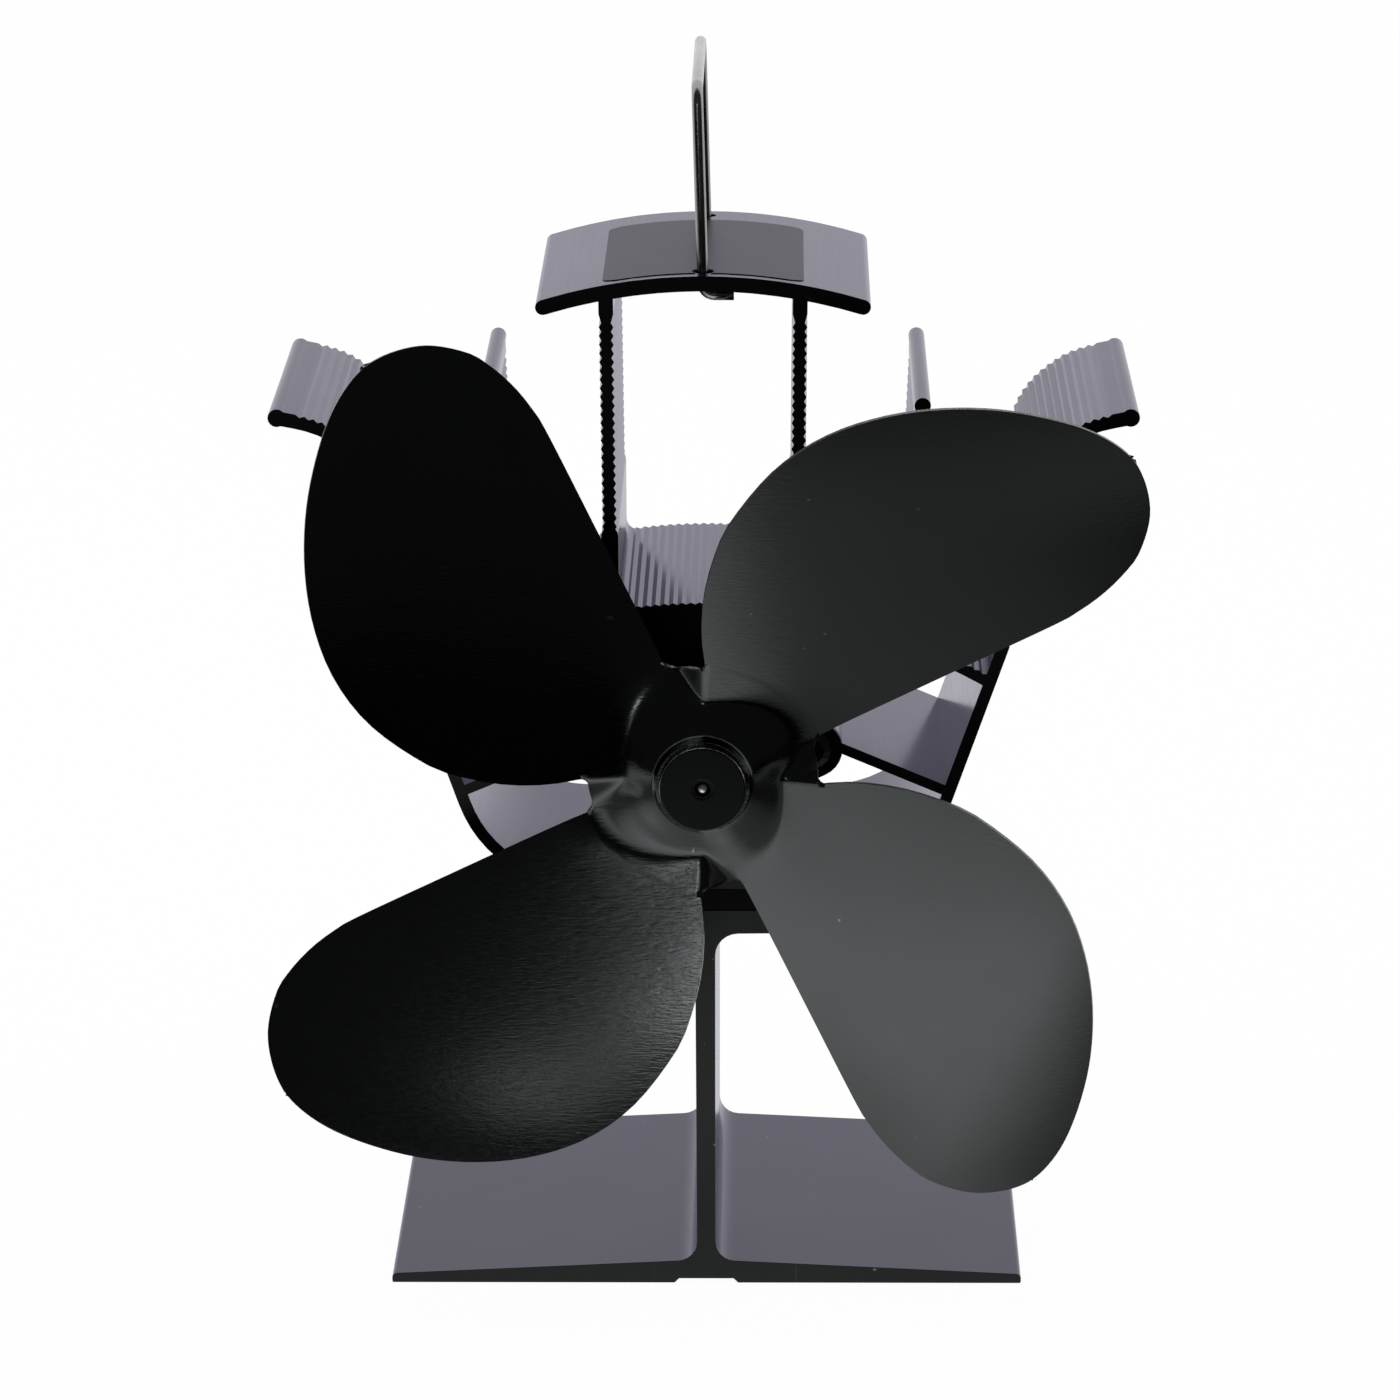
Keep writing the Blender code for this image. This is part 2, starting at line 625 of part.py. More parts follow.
def sink_bars():
    """Every member of the heat sink's profile, as outlines in the (x, z) plane."""
    bars = []
    track, join = shell_track()
    wing_start = track_length(track[:track.index(join) + 1])
    wing_end = track_length(track) - WING_PLAIN_PITCH_SHARE * RIB_PITCH
    shell = bar(track, WALL_THICKNESS, ("left",), RIB_DEPTH, wing_start, wing_end, WING_THICKNESS)
    tip = circle(track[-1].x, track[-1].y, WING_TIP_RADIUS, BAR_END_STEPS)

    roof_middle = ROOF_RADIUS - ROOF_THICKNESS / 2.0
    roof_half = math.degrees(math.asin(ROOF_HALF_SPAN / roof_middle))
    roof_centre = Vector((0.0, ROOF_TOP - ROOF_RADIUS))
    roof_track = arc(roof_centre, roof_middle, 90.0 + roof_half, 90.0 - roof_half, 30)
    roof = bar(roof_track, ROOF_THICKNESS, ("left",), ROOF_RIB_DEPTH)

    cap_middle = CAP_RADIUS - CAP_THICKNESS / 2.0
    cap_half = math.degrees(math.asin(CAP_HALF_SPAN / cap_middle))
    cap_track = arc(Vector((0.0, CAP_TOP - CAP_RADIUS)), cap_middle, 90.0 + cap_half, 90.0 - cap_half, 14)
    cap = bar(cap_track, CAP_THICKNESS)
    cap_end = circle(cap_track[-1].x, cap_track[-1].y, CAP_THICKNESS / 2.0, BAR_END_STEPS)

    leg_cap = arch_height(CAP_TOP, CAP_RADIUS, LEG_TOP_OFFSET)
    leg_top = Vector((LEG_TOP_OFFSET, leg_cap - CAP_THICKNESS / 2.0))
    leg_collar = Vector((LEG_FOOT_OFFSET, SINK_BOTTOM + LEG_COLLAR_HEIGHT))
    leg_roof = arch_height(ROOF_TOP, ROOF_RADIUS, LEG_FOOT_OFFSET)
    leg_foot = Vector((LEG_FOOT_OFFSET, leg_roof - ROOF_THICKNESS / 2.0))
    leg_track = [leg_collar, leg_top]
    leg_length = (leg_top - leg_collar).length
    leg = bar(leg_track, LEG_THICKNESS, ("left", "right"), RIB_DEPTH, 0.0, leg_length - LEG_RIB_TOP_DROP)
    collar = straight_bar(leg_foot, leg_collar, LEG_COLLAR_THICKNESS, LEG_COLLAR_THICKNESS)
    collar_end = circle(leg_collar.x, leg_collar.y, LEG_COLLAR_THICKNESS / 2.0, BAR_END_STEPS)
    slope_in = Vector((-1.0, leg_foot.x / roof_middle))
    slope_out = Vector((1.0, -leg_foot.x / roof_middle))
    half_leg = LEG_COLLAR_THICKNESS / 2.0
    fillet_low = leg_roof - ROOF_RIB_DEPTH
    inner_fillet = corner_fillet((leg_foot.x - half_leg, fillet_low), (0.0, 1.0), slope_in, LEG_FILLET)
    outer_fillet = corner_fillet((leg_foot.x + half_leg, fillet_low), (0.0, 1.0), slope_out, LEG_FILLET)

    fin_roof = arch_height(ROOF_TOP, ROOF_RADIUS, FIN_FOOT_OFFSET)
    fin_foot = Vector((FIN_FOOT_OFFSET, fin_roof - ROOF_THICKNESS / 2.0))
    fin_top = Vector((FIN_TOP_OFFSET, SINK_BOTTOM + FIN_TOP_HEIGHT))
    ribs_end = (fin_top - fin_foot).length - FIN_PLAIN_LENGTH
    fin = bar([fin_foot, fin_top], FIN_THICKNESS, ("left",), RIB_DEPTH, ROOF_THICKNESS, ribs_end)
    fin_tip = circle(fin_top.x, fin_top.y, FIN_TIP_RADIUS, BAR_END_STEPS)

    boss = circle(BOSS_OFFSET, AXIS_HEIGHT, BOSS_RADIUS, 28)
    neck = straight_bar((CORE_HALF_WIDTH / 2.0, AXIS_HEIGHT), (BOSS_OFFSET, AXIS_HEIGHT),
                        BOSS_RADIUS * 2.0 * NECK_HEIGHT_SHARE, BOSS_RADIUS * 2.0 * NECK_HEIGHT_SHARE)
    spoke_start = Vector((BOSS_OFFSET, AXIS_HEIGHT + SPOKE_START_RISE))
    spoke_end = Vector((SPOKE_END_OFFSET, AXIS_HEIGHT - SPOKE_END_DROP))
    spoke = straight_bar(spoke_start, spoke_end, SPOKE_THICKNESS, SPOKE_THICKNESS)

    halves = [shell, tip, cap_end, leg, collar, collar_end, inner_fillet, outer_fillet]
    halves += [fin, fin_tip, boss, neck, spoke]
    bars += [roof, cap]
    for outline in halves:
        bars.append(outline)
        bars.append(mirrored(outline))
    bars.append(circle(0.0, AXIS_HEIGHT, MOTOR_RING_RADIUS, ROUND_STEPS))
    return bars


def clamp_screw_places():
    rows = (FRONT + CLAMP_SCREW_EDGE, SINK_BACK - CLAMP_SCREW_EDGE)
    return [(side * CLAMP_SCREW_OFFSET, y) for y in rows for side in (-1.0, 1.0)]


def core_outline():
    """The solid middle of the sink: it stands on the module, widens at its foot and ends in the roof."""
    core_top = ROOF_TOP - ROOF_THICKNESS * CORE_TOP_SHARE
    core_low = SINK_BOTTOM - CORE_PAD_DROP
    flare = SINK_BOTTOM + CORE_FLARE_HEIGHT
    shoulder = SINK_BOTTOM + CORE_SHOULDER_HEIGHT
    right = [Vector((CORE_FOOT_HALF_WIDTH, core_low)),
             Vector((CORE_FOOT_HALF_WIDTH, SINK_BOTTOM + FLOOR_THICKNESS - CORE_PAD_DROP)),
             Vector((CORE_SHOULDER_HALF_WIDTH, SINK_BOTTOM + FLOOR_THICKNESS - CORE_PAD_DROP)),
             Vector((CORE_SHOULDER_HALF_WIDTH, shoulder)),
             Vector((CORE_HALF_WIDTH, flare)), Vector((CORE_HALF_WIDTH, core_top))]
    return right + mirrored(right)


def build_heat_sink(parts, cutters):
    low = FRONT - CUT_OVERRUN
    high = SINK_BACK + CUT_OVERRUN
    core_low = SINK_BOTTOM - CORE_PAD_DROP
    outlines = [core_outline()] + sink_bars()
    sink = merged("heat_sink", outlines, FRONT, SINK_BACK, parts, "black_anodised")
    cut(sink, cylinder("motor_bore", MOTOR_BORE_RADIUS, (0.0, low, AXIS_HEIGHT), (0.0, high, AXIS_HEIGHT),
                       cutters, ROUND_STEPS))
    for side in (-1.0, 1.0):
        x = side * BOSS_OFFSET
        hole_end = FRONT + EAR_SCREW_LENGTH + SEAT_GAP
        cut(sink, cylinder("ear_hole", EAR_SCREW_SHANK_RADIUS + SEAT_GAP, (x, low, AXIS_HEIGHT),
                           (x, hole_end, AXIS_HEIGHT), cutters))
    thread_top = SINK_BOTTOM + CLAMP_THREAD_LENGTH + SEAT_GAP
    for x, y in clamp_screw_places():
        cut(sink, cylinder("clamp_hole", CLAMP_SHANK_RADIUS + SEAT_GAP, (x, y, core_low - CUT_OVERRUN),
                           (x, y, thread_top), cutters))
    for y in (HANDLE_FRONT, HANDLE_BACK):
        flat = HANDLE_SLOT_LENGTH / 2.0
        across = HANDLE_SLOT_WIDTH / 2.0
        end = across * SLOT_END_SHARE
        slot = rounded([(-flat, y - across, end), (flat, y - across, end),
                        (flat, y + across, end), (-flat, y + across, end)])
        cut(sink, extruded("handle_slot", [slot], CAP_UNDERSIDE - CUT_OVERRUN, CAP_TOP + CUT_OVERRUN,
                           cutters, upright=False))
    return sink


def foot_outline():
    half_foot = FOOT_WIDTH / 2.0
    half_flange = FLANGE_WIDTH / 2.0
    flange_low = FLANGE_TOP_HEIGHT - FLANGE_THICKNESS
    groove = GROOVE_WIDTH / 2.0
    edge = FOOT_EDGE_THICKNESS / 2.0
    right = [(groove - GROOVE_SIDE_RUN, GROOVE_DEPTH, 0.0),
             (groove, 0.0, 0.0),
             (half_foot, 0.0, SOFT_EDGE),
             (half_foot, FOOT_EDGE_THICKNESS, edge),
             (WEB_FOOT_THICKNESS / 2.0, FOOT_ROOT_THICKNESS, FOOT_ROOT_FILLET),
             (WEB_TOP_THICKNESS / 2.0, flange_low, FLANGE_ROOT_FILLET),
             (half_flange, FLANGE_TOP_HEIGHT - FLANGE_EDGE_THICKNESS, SOFT_EDGE),
             (half_flange, FLANGE_TOP_HEIGHT, SOFT_EDGE)]
    return rounded(right + [(-x, y, radius) for x, y, radius in reversed(right)])


def build_foot(parts, cutters):
    foot = extruded("base_foot", [foot_outline()], FRONT, FOOT_BACK, parts, "black_anodised")
    flange_low = FLANGE_TOP_HEIGHT - FLANGE_THICKNESS
    for x, y in clamp_screw_places():
        cut(foot, cylinder("flange_hole", CLAMP_HOLE_RADIUS, (x, y, flange_low - CUT_OVERRUN),
                           (x, y, FLANGE_TOP_HEIGHT + CUT_OVERRUN), cutters))
    hole_top = STRIP_THICKNESS + STRIP_SCREW_LENGTH + 2.0 * SEAT_GAP
    strip_back = FRONT + STRIP_FRONT_INSET + STRIP_LENGTH
    cut(foot, cylinder("strip_hole", STRIP_SCREW_SHANK_RADIUS + SEAT_GAP / 2.0,
                       (0.0, strip_back - STRIP_SCREW_INSET, -CUT_OVERRUN),
                       (0.0, strip_back - STRIP_SCREW_INSET, hole_top), cutters))
    return foot


def build_sandwich(parts, cutters):
    """Pads, module and the insulation frame round them, stacked up from the flange."""
    layers = (("hot_side_pad", PAD_THICKNESS, PAD_INSET, "graphite"),
              ("module_hot_plate", MODULE_PLATE_THICKNESS, 0.0, "ceramic_white"),
              ("module_core", MODULE_CORE_THICKNESS, MODULE_CORE_INSET, "module_grey"),
              ("module_cold_plate", MODULE_PLATE_THICKNESS, 0.0, "ceramic_white"),
              ("cold_side_pad", PAD_THICKNESS, PAD_INSET, "graphite"))
    height = FLANGE_TOP_HEIGHT + SANDWICH_GAP
    core_low = SINK_BOTTOM - CORE_PAD_DROP
    for name, thickness, inset, finish in layers:
        half = MODULE_SIDE / 2.0 - inset
        block(name, (-half, SINK_MIDDLE - MODULE_SIDE / 2.0 + inset, height),
              (half, SINK_MIDDLE + MODULE_SIDE / 2.0 - inset, height + thickness), parts, finish)
        height += thickness + SANDWICH_GAP
    half_frame = FLANGE_WIDTH / 2.0
    opening = MODULE_SIDE / 2.0 + FRAME_SIDE_CLEARANCE
    outer = rounded([(-half_frame, FRONT, SOFT_EDGE), (half_frame, FRONT, SOFT_EDGE),
                     (half_frame, SINK_BACK, SOFT_EDGE), (-half_frame, SINK_BACK, SOFT_EDGE)])
    inner = [Vector((-opening, SINK_MIDDLE - opening)), Vector((opening, SINK_MIDDLE - opening)),
             Vector((opening, SINK_MIDDLE + opening)), Vector((-opening, SINK_MIDDLE + opening))]
    frame = extruded("insulation_frame", [outer, inner], FLANGE_TOP_HEIGHT + SANDWICH_GAP,
                     core_low - SANDWICH_GAP, parts, "insulation_black", upright=False)
    for x, y in clamp_screw_places():
        cut(frame, cylinder("frame_hole", CLAMP_SHANK_RADIUS + SEAT_GAP,
                            (x, y, FLANGE_TOP_HEIGHT - CUT_OVERRUN),
                            (x, y, core_low + CUT_OVERRUN), cutters))
    for side in (-1.0, 1.0):
        x = side * LEAD_SPACING / 2.0
        cut(frame, cylinder("lead_hole", LEAD_RADIUS + SEAT_GAP, (x, SINK_MIDDLE, MODULE_MIDDLE_HEIGHT),
                            (x, SINK_BACK + CUT_OVERRUN, MODULE_MIDDLE_HEIGHT), cutters, TINY_ROUND_STEPS))


def build_clamps(parts, cutters):
    """Four screws from under the flange up into the sink, each on a split washer and a shouldered bush."""
    flange_low = FLANGE_TOP_HEIGHT - FLANGE_THICKNESS
    bush_low = flange_low - SEAT_GAP - BUSH_FLANGE_THICKNESS
    washer_low = bush_low - SEAT_GAP - WASHER_THICKNESS
    head_top = washer_low - SEAT_GAP
    shank = SINK_BOTTOM + CLAMP_THREAD_LENGTH - head_top
    inner = CLAMP_SHANK_RADIUS + SEAT_GAP
    sleeve = inner + BUSH_SLEEVE_WALL
    for index, (x, y) in enumerate(clamp_screw_places(), 1):
        name = "clamp_screw_%d" % index
        profile = [(0.0, shank), (CLAMP_SHANK_RADIUS - SOFT_EDGE, shank),
                   (CLAMP_SHANK_RADIUS, shank - SOFT_EDGE), (CLAMP_SHANK_RADIUS, 0.0),
                   (CLAMP_HEAD_RADIUS, 0.0),
                   (CLAMP_HEAD_RADIUS, SOFT_EDGE - CLAMP_HEAD_HEIGHT),
                   (CLAMP_HEAD_RADIUS - SOFT_EDGE, -CLAMP_HEAD_HEIGHT), (0.0, -CLAMP_HEAD_HEIGHT)]
        screw = turned(name, profile, (x, y, head_top), parts, "steel", upright=True)
        head_low = head_top - CLAMP_HEAD_HEIGHT
        cut(screw, cylinder("socket", CLAMP_SOCKET_RADIUS, (x, y, head_low - CUT_OVERRUN),
                            (x, y, head_low + CLAMP_SOCKET_DEPTH), cutters, 6))
        half_split = math.degrees(WASHER_SPLIT / WASHER_RADIUS)
        centre = Vector((x, y))
        ring = arc(centre, WASHER_RADIUS, half_split, 360.0 - half_split, SMALL_ROUND_STEPS)
        ring += arc(centre, inner, 360.0 - half_split, half_split, SMALL_ROUND_STEPS)
        extruded("spring_washer_%d" % index, [ring], washer_low, washer_low + WASHER_THICKNESS, parts,
                 "steel", upright=False)
        sleeve_top = FLANGE_TOP_HEIGHT - bush_low
        bush = [(inner, sleeve_top), (sleeve, sleeve_top), (sleeve, BUSH_FLANGE_THICKNESS),
                (BUSH_FLANGE_RADIUS, BUSH_FLANGE_THICKNESS), (BUSH_FLANGE_RADIUS, 0.0), (inner, 0.0)]
        turned("insulating_bush_%d" % index, bush, (x, y, bush_low), parts, "insulation_black", upright=True)


def build_strip(parts, cutters):
    """The strip in the groove under the foot, and the screw that holds its back end."""
    strip_front = FRONT + STRIP_FRONT_INSET
    strip_back = strip_front + STRIP_LENGTH
    low = (GROOVE_DEPTH - STRIP_THICKNESS) / 2.0
    half = STRIP_WIDTH / 2.0
    outline = rounded([(-half, strip_front, half / 2.0), (half, strip_front, half / 2.0),
                       (half, strip_back, half / 2.0), (-half, strip_back, half / 2.0)])
    hole_y = strip_back - STRIP_SCREW_INSET
    hole = circle(0.0, hole_y, STRIP_SCREW_HEAD_RADIUS + SEAT_GAP)
    extruded("bimetal_strip", [outline, hole], low, low + STRIP_THICKNESS, parts, "bimetal", upright=False)
    head = STRIP_THICKNESS
    profile = [(0.0, head + STRIP_SCREW_LENGTH), (STRIP_SCREW_SHANK_RADIUS, head + STRIP_SCREW_LENGTH),
               (STRIP_SCREW_SHANK_RADIUS, head), (STRIP_SCREW_HEAD_RADIUS, head),
               (STRIP_SCREW_HEAD_RADIUS, 0.0), (0.0, 0.0)]
    turned("bimetal_screw", profile, (0.0, hole_y, low), parts, "steel", upright=True)


def motor_place():
    return (0.0, FRONT, AXIS_HEIGHT)


def build_motor(parts, cutters):
    """The can with its boss and bush, two magnets, the end cap with its bush, and two terminals."""
    place = motor_place()
    bush_outer = SHAFT_RADIUS + RUNNING_GAP + BUSH_WALL
    bush_seat = bush_outer + SEAT_GAP
    inside = MOTOR_RADIUS - MOTOR_WALL
    can = turned("motor_can", [
        (bush_seat, MOTOR_BOSS_LENGTH), (MOTOR_BOSS_RADIUS, MOTOR_BOSS_LENGTH), (MOTOR_BOSS_RADIUS, 0.0),
        (MOTOR_RADIUS - SOFT_EDGE, 0.0), (MOTOR_RADIUS, -SOFT_EDGE), (MOTOR_RADIUS, -MOTOR_LENGTH),
        (inside, -MOTOR_LENGTH), (inside, -MOTOR_WALL), (bush_seat, -MOTOR_WALL)],
        place, parts, "motor_zinc", CAN_STEPS)
    for side in (-1.0, 1.0):
        z = AXIS_HEIGHT + side * MOTOR_SCREW_CIRCLE
        cut(can, cylinder("motor_screw_hole", MOTOR_SCREW_SHANK_RADIUS + SEAT_GAP,
                          (0.0, FRONT - CUT_OVERRUN, z), (0.0, FRONT + 2.0 * MOTOR_WALL, z),
                          cutters, TINY_ROUND_STEPS))
    bush = [(SHAFT_RADIUS + RUNNING_GAP, BUSH_LENGTH / 2.0), (bush_outer, BUSH_LENGTH / 2.0),
            (bush_outer, -BUSH_LENGTH / 2.0), (SHAFT_RADIUS + RUNNING_GAP, -BUSH_LENGTH / 2.0)]
    turned("front_bush", bush, (0.0, FRONT, AXIS_HEIGHT), parts, "brass")
    magnet_outer = inside - SEAT_GAP
    magnet_inner = magnet_outer - MAGNET_THICKNESS
    axis = Vector((0.0, AXIS_HEIGHT))
    for name, middle in (("magnet_left", 180.0), ("magnet_right", 0.0)):
        start, end = middle - MAGNET_ARC_DEG / 2.0, middle + MAGNET_ARC_DEG / 2.0
        outline = arc(axis, magnet_outer, start, end, 16) + arc(axis, magnet_inner, end, start, 16)
        front = FRONT + MAGNET_START
        extruded(name, [outline], front, front + MAGNET_LENGTH, parts, "magnet_dark")
    cap_front = -MOTOR_LENGTH - SEAT_GAP
    cap_back = cap_front - END_CAP_THICKNESS
    hub_back = cap_back - END_CAP_HUB_LENGTH
    end_cap = turned("motor_end_cap", [
        (bush_seat, cap_front), (MOTOR_RADIUS, cap_front), (MOTOR_RADIUS, cap_back + SOFT_EDGE),
        (MOTOR_RADIUS - SOFT_EDGE, cap_back), (END_CAP_HUB_RADIUS, cap_back), (END_CAP_HUB_RADIUS, hub_back),
        (bush_seat, hub_back)], place, parts, "black_plastic", CAN_STEPS)
    turned("rear_bush", bush, (0.0, FRONT - (cap_front + hub_back) / 2.0, AXIS_HEIGHT), parts, "brass")
    tab_front = FRONT - cap_front + END_CAP_THICKNESS / 3.0
    for name, side in (("terminal_red_side", 1.0), ("terminal_black_side", -1.0)):
        x = side * TERMINAL_OFFSET
        half_width, half_thick = TERMINAL_WIDTH / 2.0, TERMINAL_THICKNESS / 2.0
        block(name, (x - half_thick, tab_front, AXIS_HEIGHT - half_width),
              (x + half_thick, TERMINAL_BACK, AXIS_HEIGHT + half_width), parts, "brass")
        slot_x, slot_z = half_thick + SEAT_GAP, half_width + SEAT_GAP
        cut(end_cap, block("terminal_slot", (x - slot_x, tab_front - SEAT_GAP, AXIS_HEIGHT - slot_z),
                           (x + slot_x, TERMINAL_BACK, AXIS_HEIGHT + slot_z), cutters))


def cross_head(name, shank_radius, head_radius, head_height, length, place, finish, parts, cutters):
    """A domed screw that faces the front, with a cross recess in its head."""
    dome = [(head_radius * math.sin(math.radians(angle)), head_height * math.cos(math.radians(angle)))
            for angle in HEAD_DOME_DEGREES]
    profile = dome + [(head_radius, 0.0), (shank_radius, 0.0), (shank_radius, SOFT_EDGE - length),
                      (shank_radius - SOFT_EDGE, -length), (0.0, -length)]
    screw = turned(name, profile, place, parts, finish, TINY_ROUND_STEPS)
    x, y, z = place
    top = y - head_height
    depth = head_height * CROSS_SLOT_DEPTH_SHARE
    half = CROSS_SLOT_WIDTH / 2.0
    arm = head_radius * CROSS_SLOT_REACH_SHARE
    for reach, rise in ((arm, half), (half, arm)):
        cut(screw, block("cross_recess", (x - reach, top - CUT_OVERRUN, z - rise),
                         (x + reach, top + depth, z + rise), cutters))


def build_clamp_plate(parts, cutters):
    """The plate across the motor's front, a screw through each of its ears, and the motor's own screws."""
    low = FRONT - SEAT_GAP - CLAMP_PLATE_THICKNESS
    high = FRONT - SEAT_GAP
    axis = Vector((0.0, AXIS_HEIGHT))
    ear = Vector((BOSS_OFFSET, 0.0))
    lean = math.degrees(math.asin((CLAMP_PLATE_RADIUS - BOSS_RADIUS) / BOSS_OFFSET))
    outline = arc(axis + ear, BOSS_RADIUS, lean - 90.0, 90.0 - lean, 10)
    outline += arc(axis, CLAMP_PLATE_RADIUS, 90.0 - lean, 90.0 + lean, 6)
    outline += arc(axis - ear, BOSS_RADIUS, 90.0 + lean, 270.0 - lean, 10)
    outline += arc(axis, CLAMP_PLATE_RADIUS, 270.0 - lean, 270.0 + lean, 6)
    holes = [circle(0.0, AXIS_HEIGHT, MOTOR_BOSS_RADIUS + SEAT_GAP)]
    for side in (-1.0, 1.0):
        holes.append(circle(side * BOSS_OFFSET, AXIS_HEIGHT, EAR_SCREW_SHANK_RADIUS + SEAT_GAP))
        screw_height = AXIS_HEIGHT + side * MOTOR_SCREW_CIRCLE
        holes.append(circle(0.0, screw_height, MOTOR_SCREW_SHANK_RADIUS + SEAT_GAP, TINY_ROUND_STEPS))
    extruded("motor_clamp_plate", [outline] + holes, low, high, parts, "hub_black")
    seat = low - SEAT_GAP
    for index, side in enumerate((-1.0, 1.0), 1):
        cross_head("ear_screw_%d" % index, EAR_SCREW_SHANK_RADIUS, EAR_SCREW_HEAD_RADIUS,
                   EAR_SCREW_HEAD_HEIGHT, EAR_SCREW_LENGTH,
                   (side * BOSS_OFFSET, seat, AXIS_HEIGHT), "hub_black", parts, cutters)
        grip = FRONT - seat + MOTOR_WALL + MOTOR_SCREW_GRIP
        cross_head("motor_screw_%d" % index, MOTOR_SCREW_SHANK_RADIUS, MOTOR_SCREW_HEAD_RADIUS,
                   MOTOR_SCREW_HEAD_HEIGHT, grip,
                   (0.0, seat, AXIS_HEIGHT + side * MOTOR_SCREW_CIRCLE), "steel", parts, cutters)


def blade_edges():
    """The straight and the bulged edge of a blade as flat tracks from the hub out to the tip."""
    shares = BLADE_STRAIGHT_SHARES[::-1] + BLADE_BULGE_SHARES[::-1][1:]
    outline = smooth_line([(x * BLADE_REACH, y * BLADE_REACH) for x, y in shares], 8)
    tip = max(range(len(outline)), key=lambda index: outline[index].length)
    edges = []
    for edge in (outline[:tip + 1], outline[tip:][::-1]):
        outer = next(index for index, point in enumerate(edge) if point.length > HUB_SKIRT_RADIUS)
        near, far = edge[outer - 1], edge[outer]
        share = (HUB_SKIRT_RADIUS - near.length) / (far.length - near.length)
        edges.append([near.lerp(far, share)] + edge[outer:])
    return edges


def angle_of(point):
    return math.atan2(point.y, point.x)


def ease(value):
    value = min(1.0, max(0.0, value))
    return value * value * (3.0 - 2.0 * value)


def blade_forward(radius, angle, share, width):
    """How far forward of the sink's face the pitched blade lies; share runs from straight to bulged edge."""
    across = radius * math.sin(angle) - BLADE_STRAIGHT_SHARES[-1][1] * BLADE_REACH
    camber = BLADE_CAMBER * 4.0 * share * (1.0 - share) * (width / BLADE_WIDTH) ** 2
    return BLADE_STRAIGHT_OFFSET + BLADE_PITCH_SHARE * across + camber


def sheet_forward(radius, pitched):
    """The dome where it stands in front of the pitched sheet, else the sheet, with a soft crease."""
    land = NOSE_FORWARD - NOSE_FLANGE_THICKNESS - SEAT_GAP
    share = (radius - HUB_LAND_RADIUS) / (HUB_DOME_EDGE_RADIUS - HUB_LAND_RADIUS)
    dome = land - HUB_DOME_DROP * ease(share) - HUB_SKIRT_SHARE * max(0.0, radius - HUB_DOME_EDGE_RADIUS)
    return (dome + pitched + math.hypot(dome - pitched, HUB_CREASE)) / 2.0


def hub_radii():
    """Radii of the pressed sheet's rings from its hole out to the gaps between the blades."""
    hole = SLEEVE_RADIUS + SEAT_GAP
    rows = []
    for count, start, end in ((HUB_LAND_RINGS, hole, HUB_LAND_RADIUS),
                              (HUB_DOME_RINGS, HUB_LAND_RADIUS, HUB_DOME_EDGE_RADIUS),
                              (HUB_SKIRT_RINGS, HUB_DOME_EDGE_RADIUS, HUB_SKIRT_RADIUS)):
        rows += [start + (end - start) * step / count for step in range(count)]
    rows.append(HUB_SKIRT_RADIUS)
    return rows


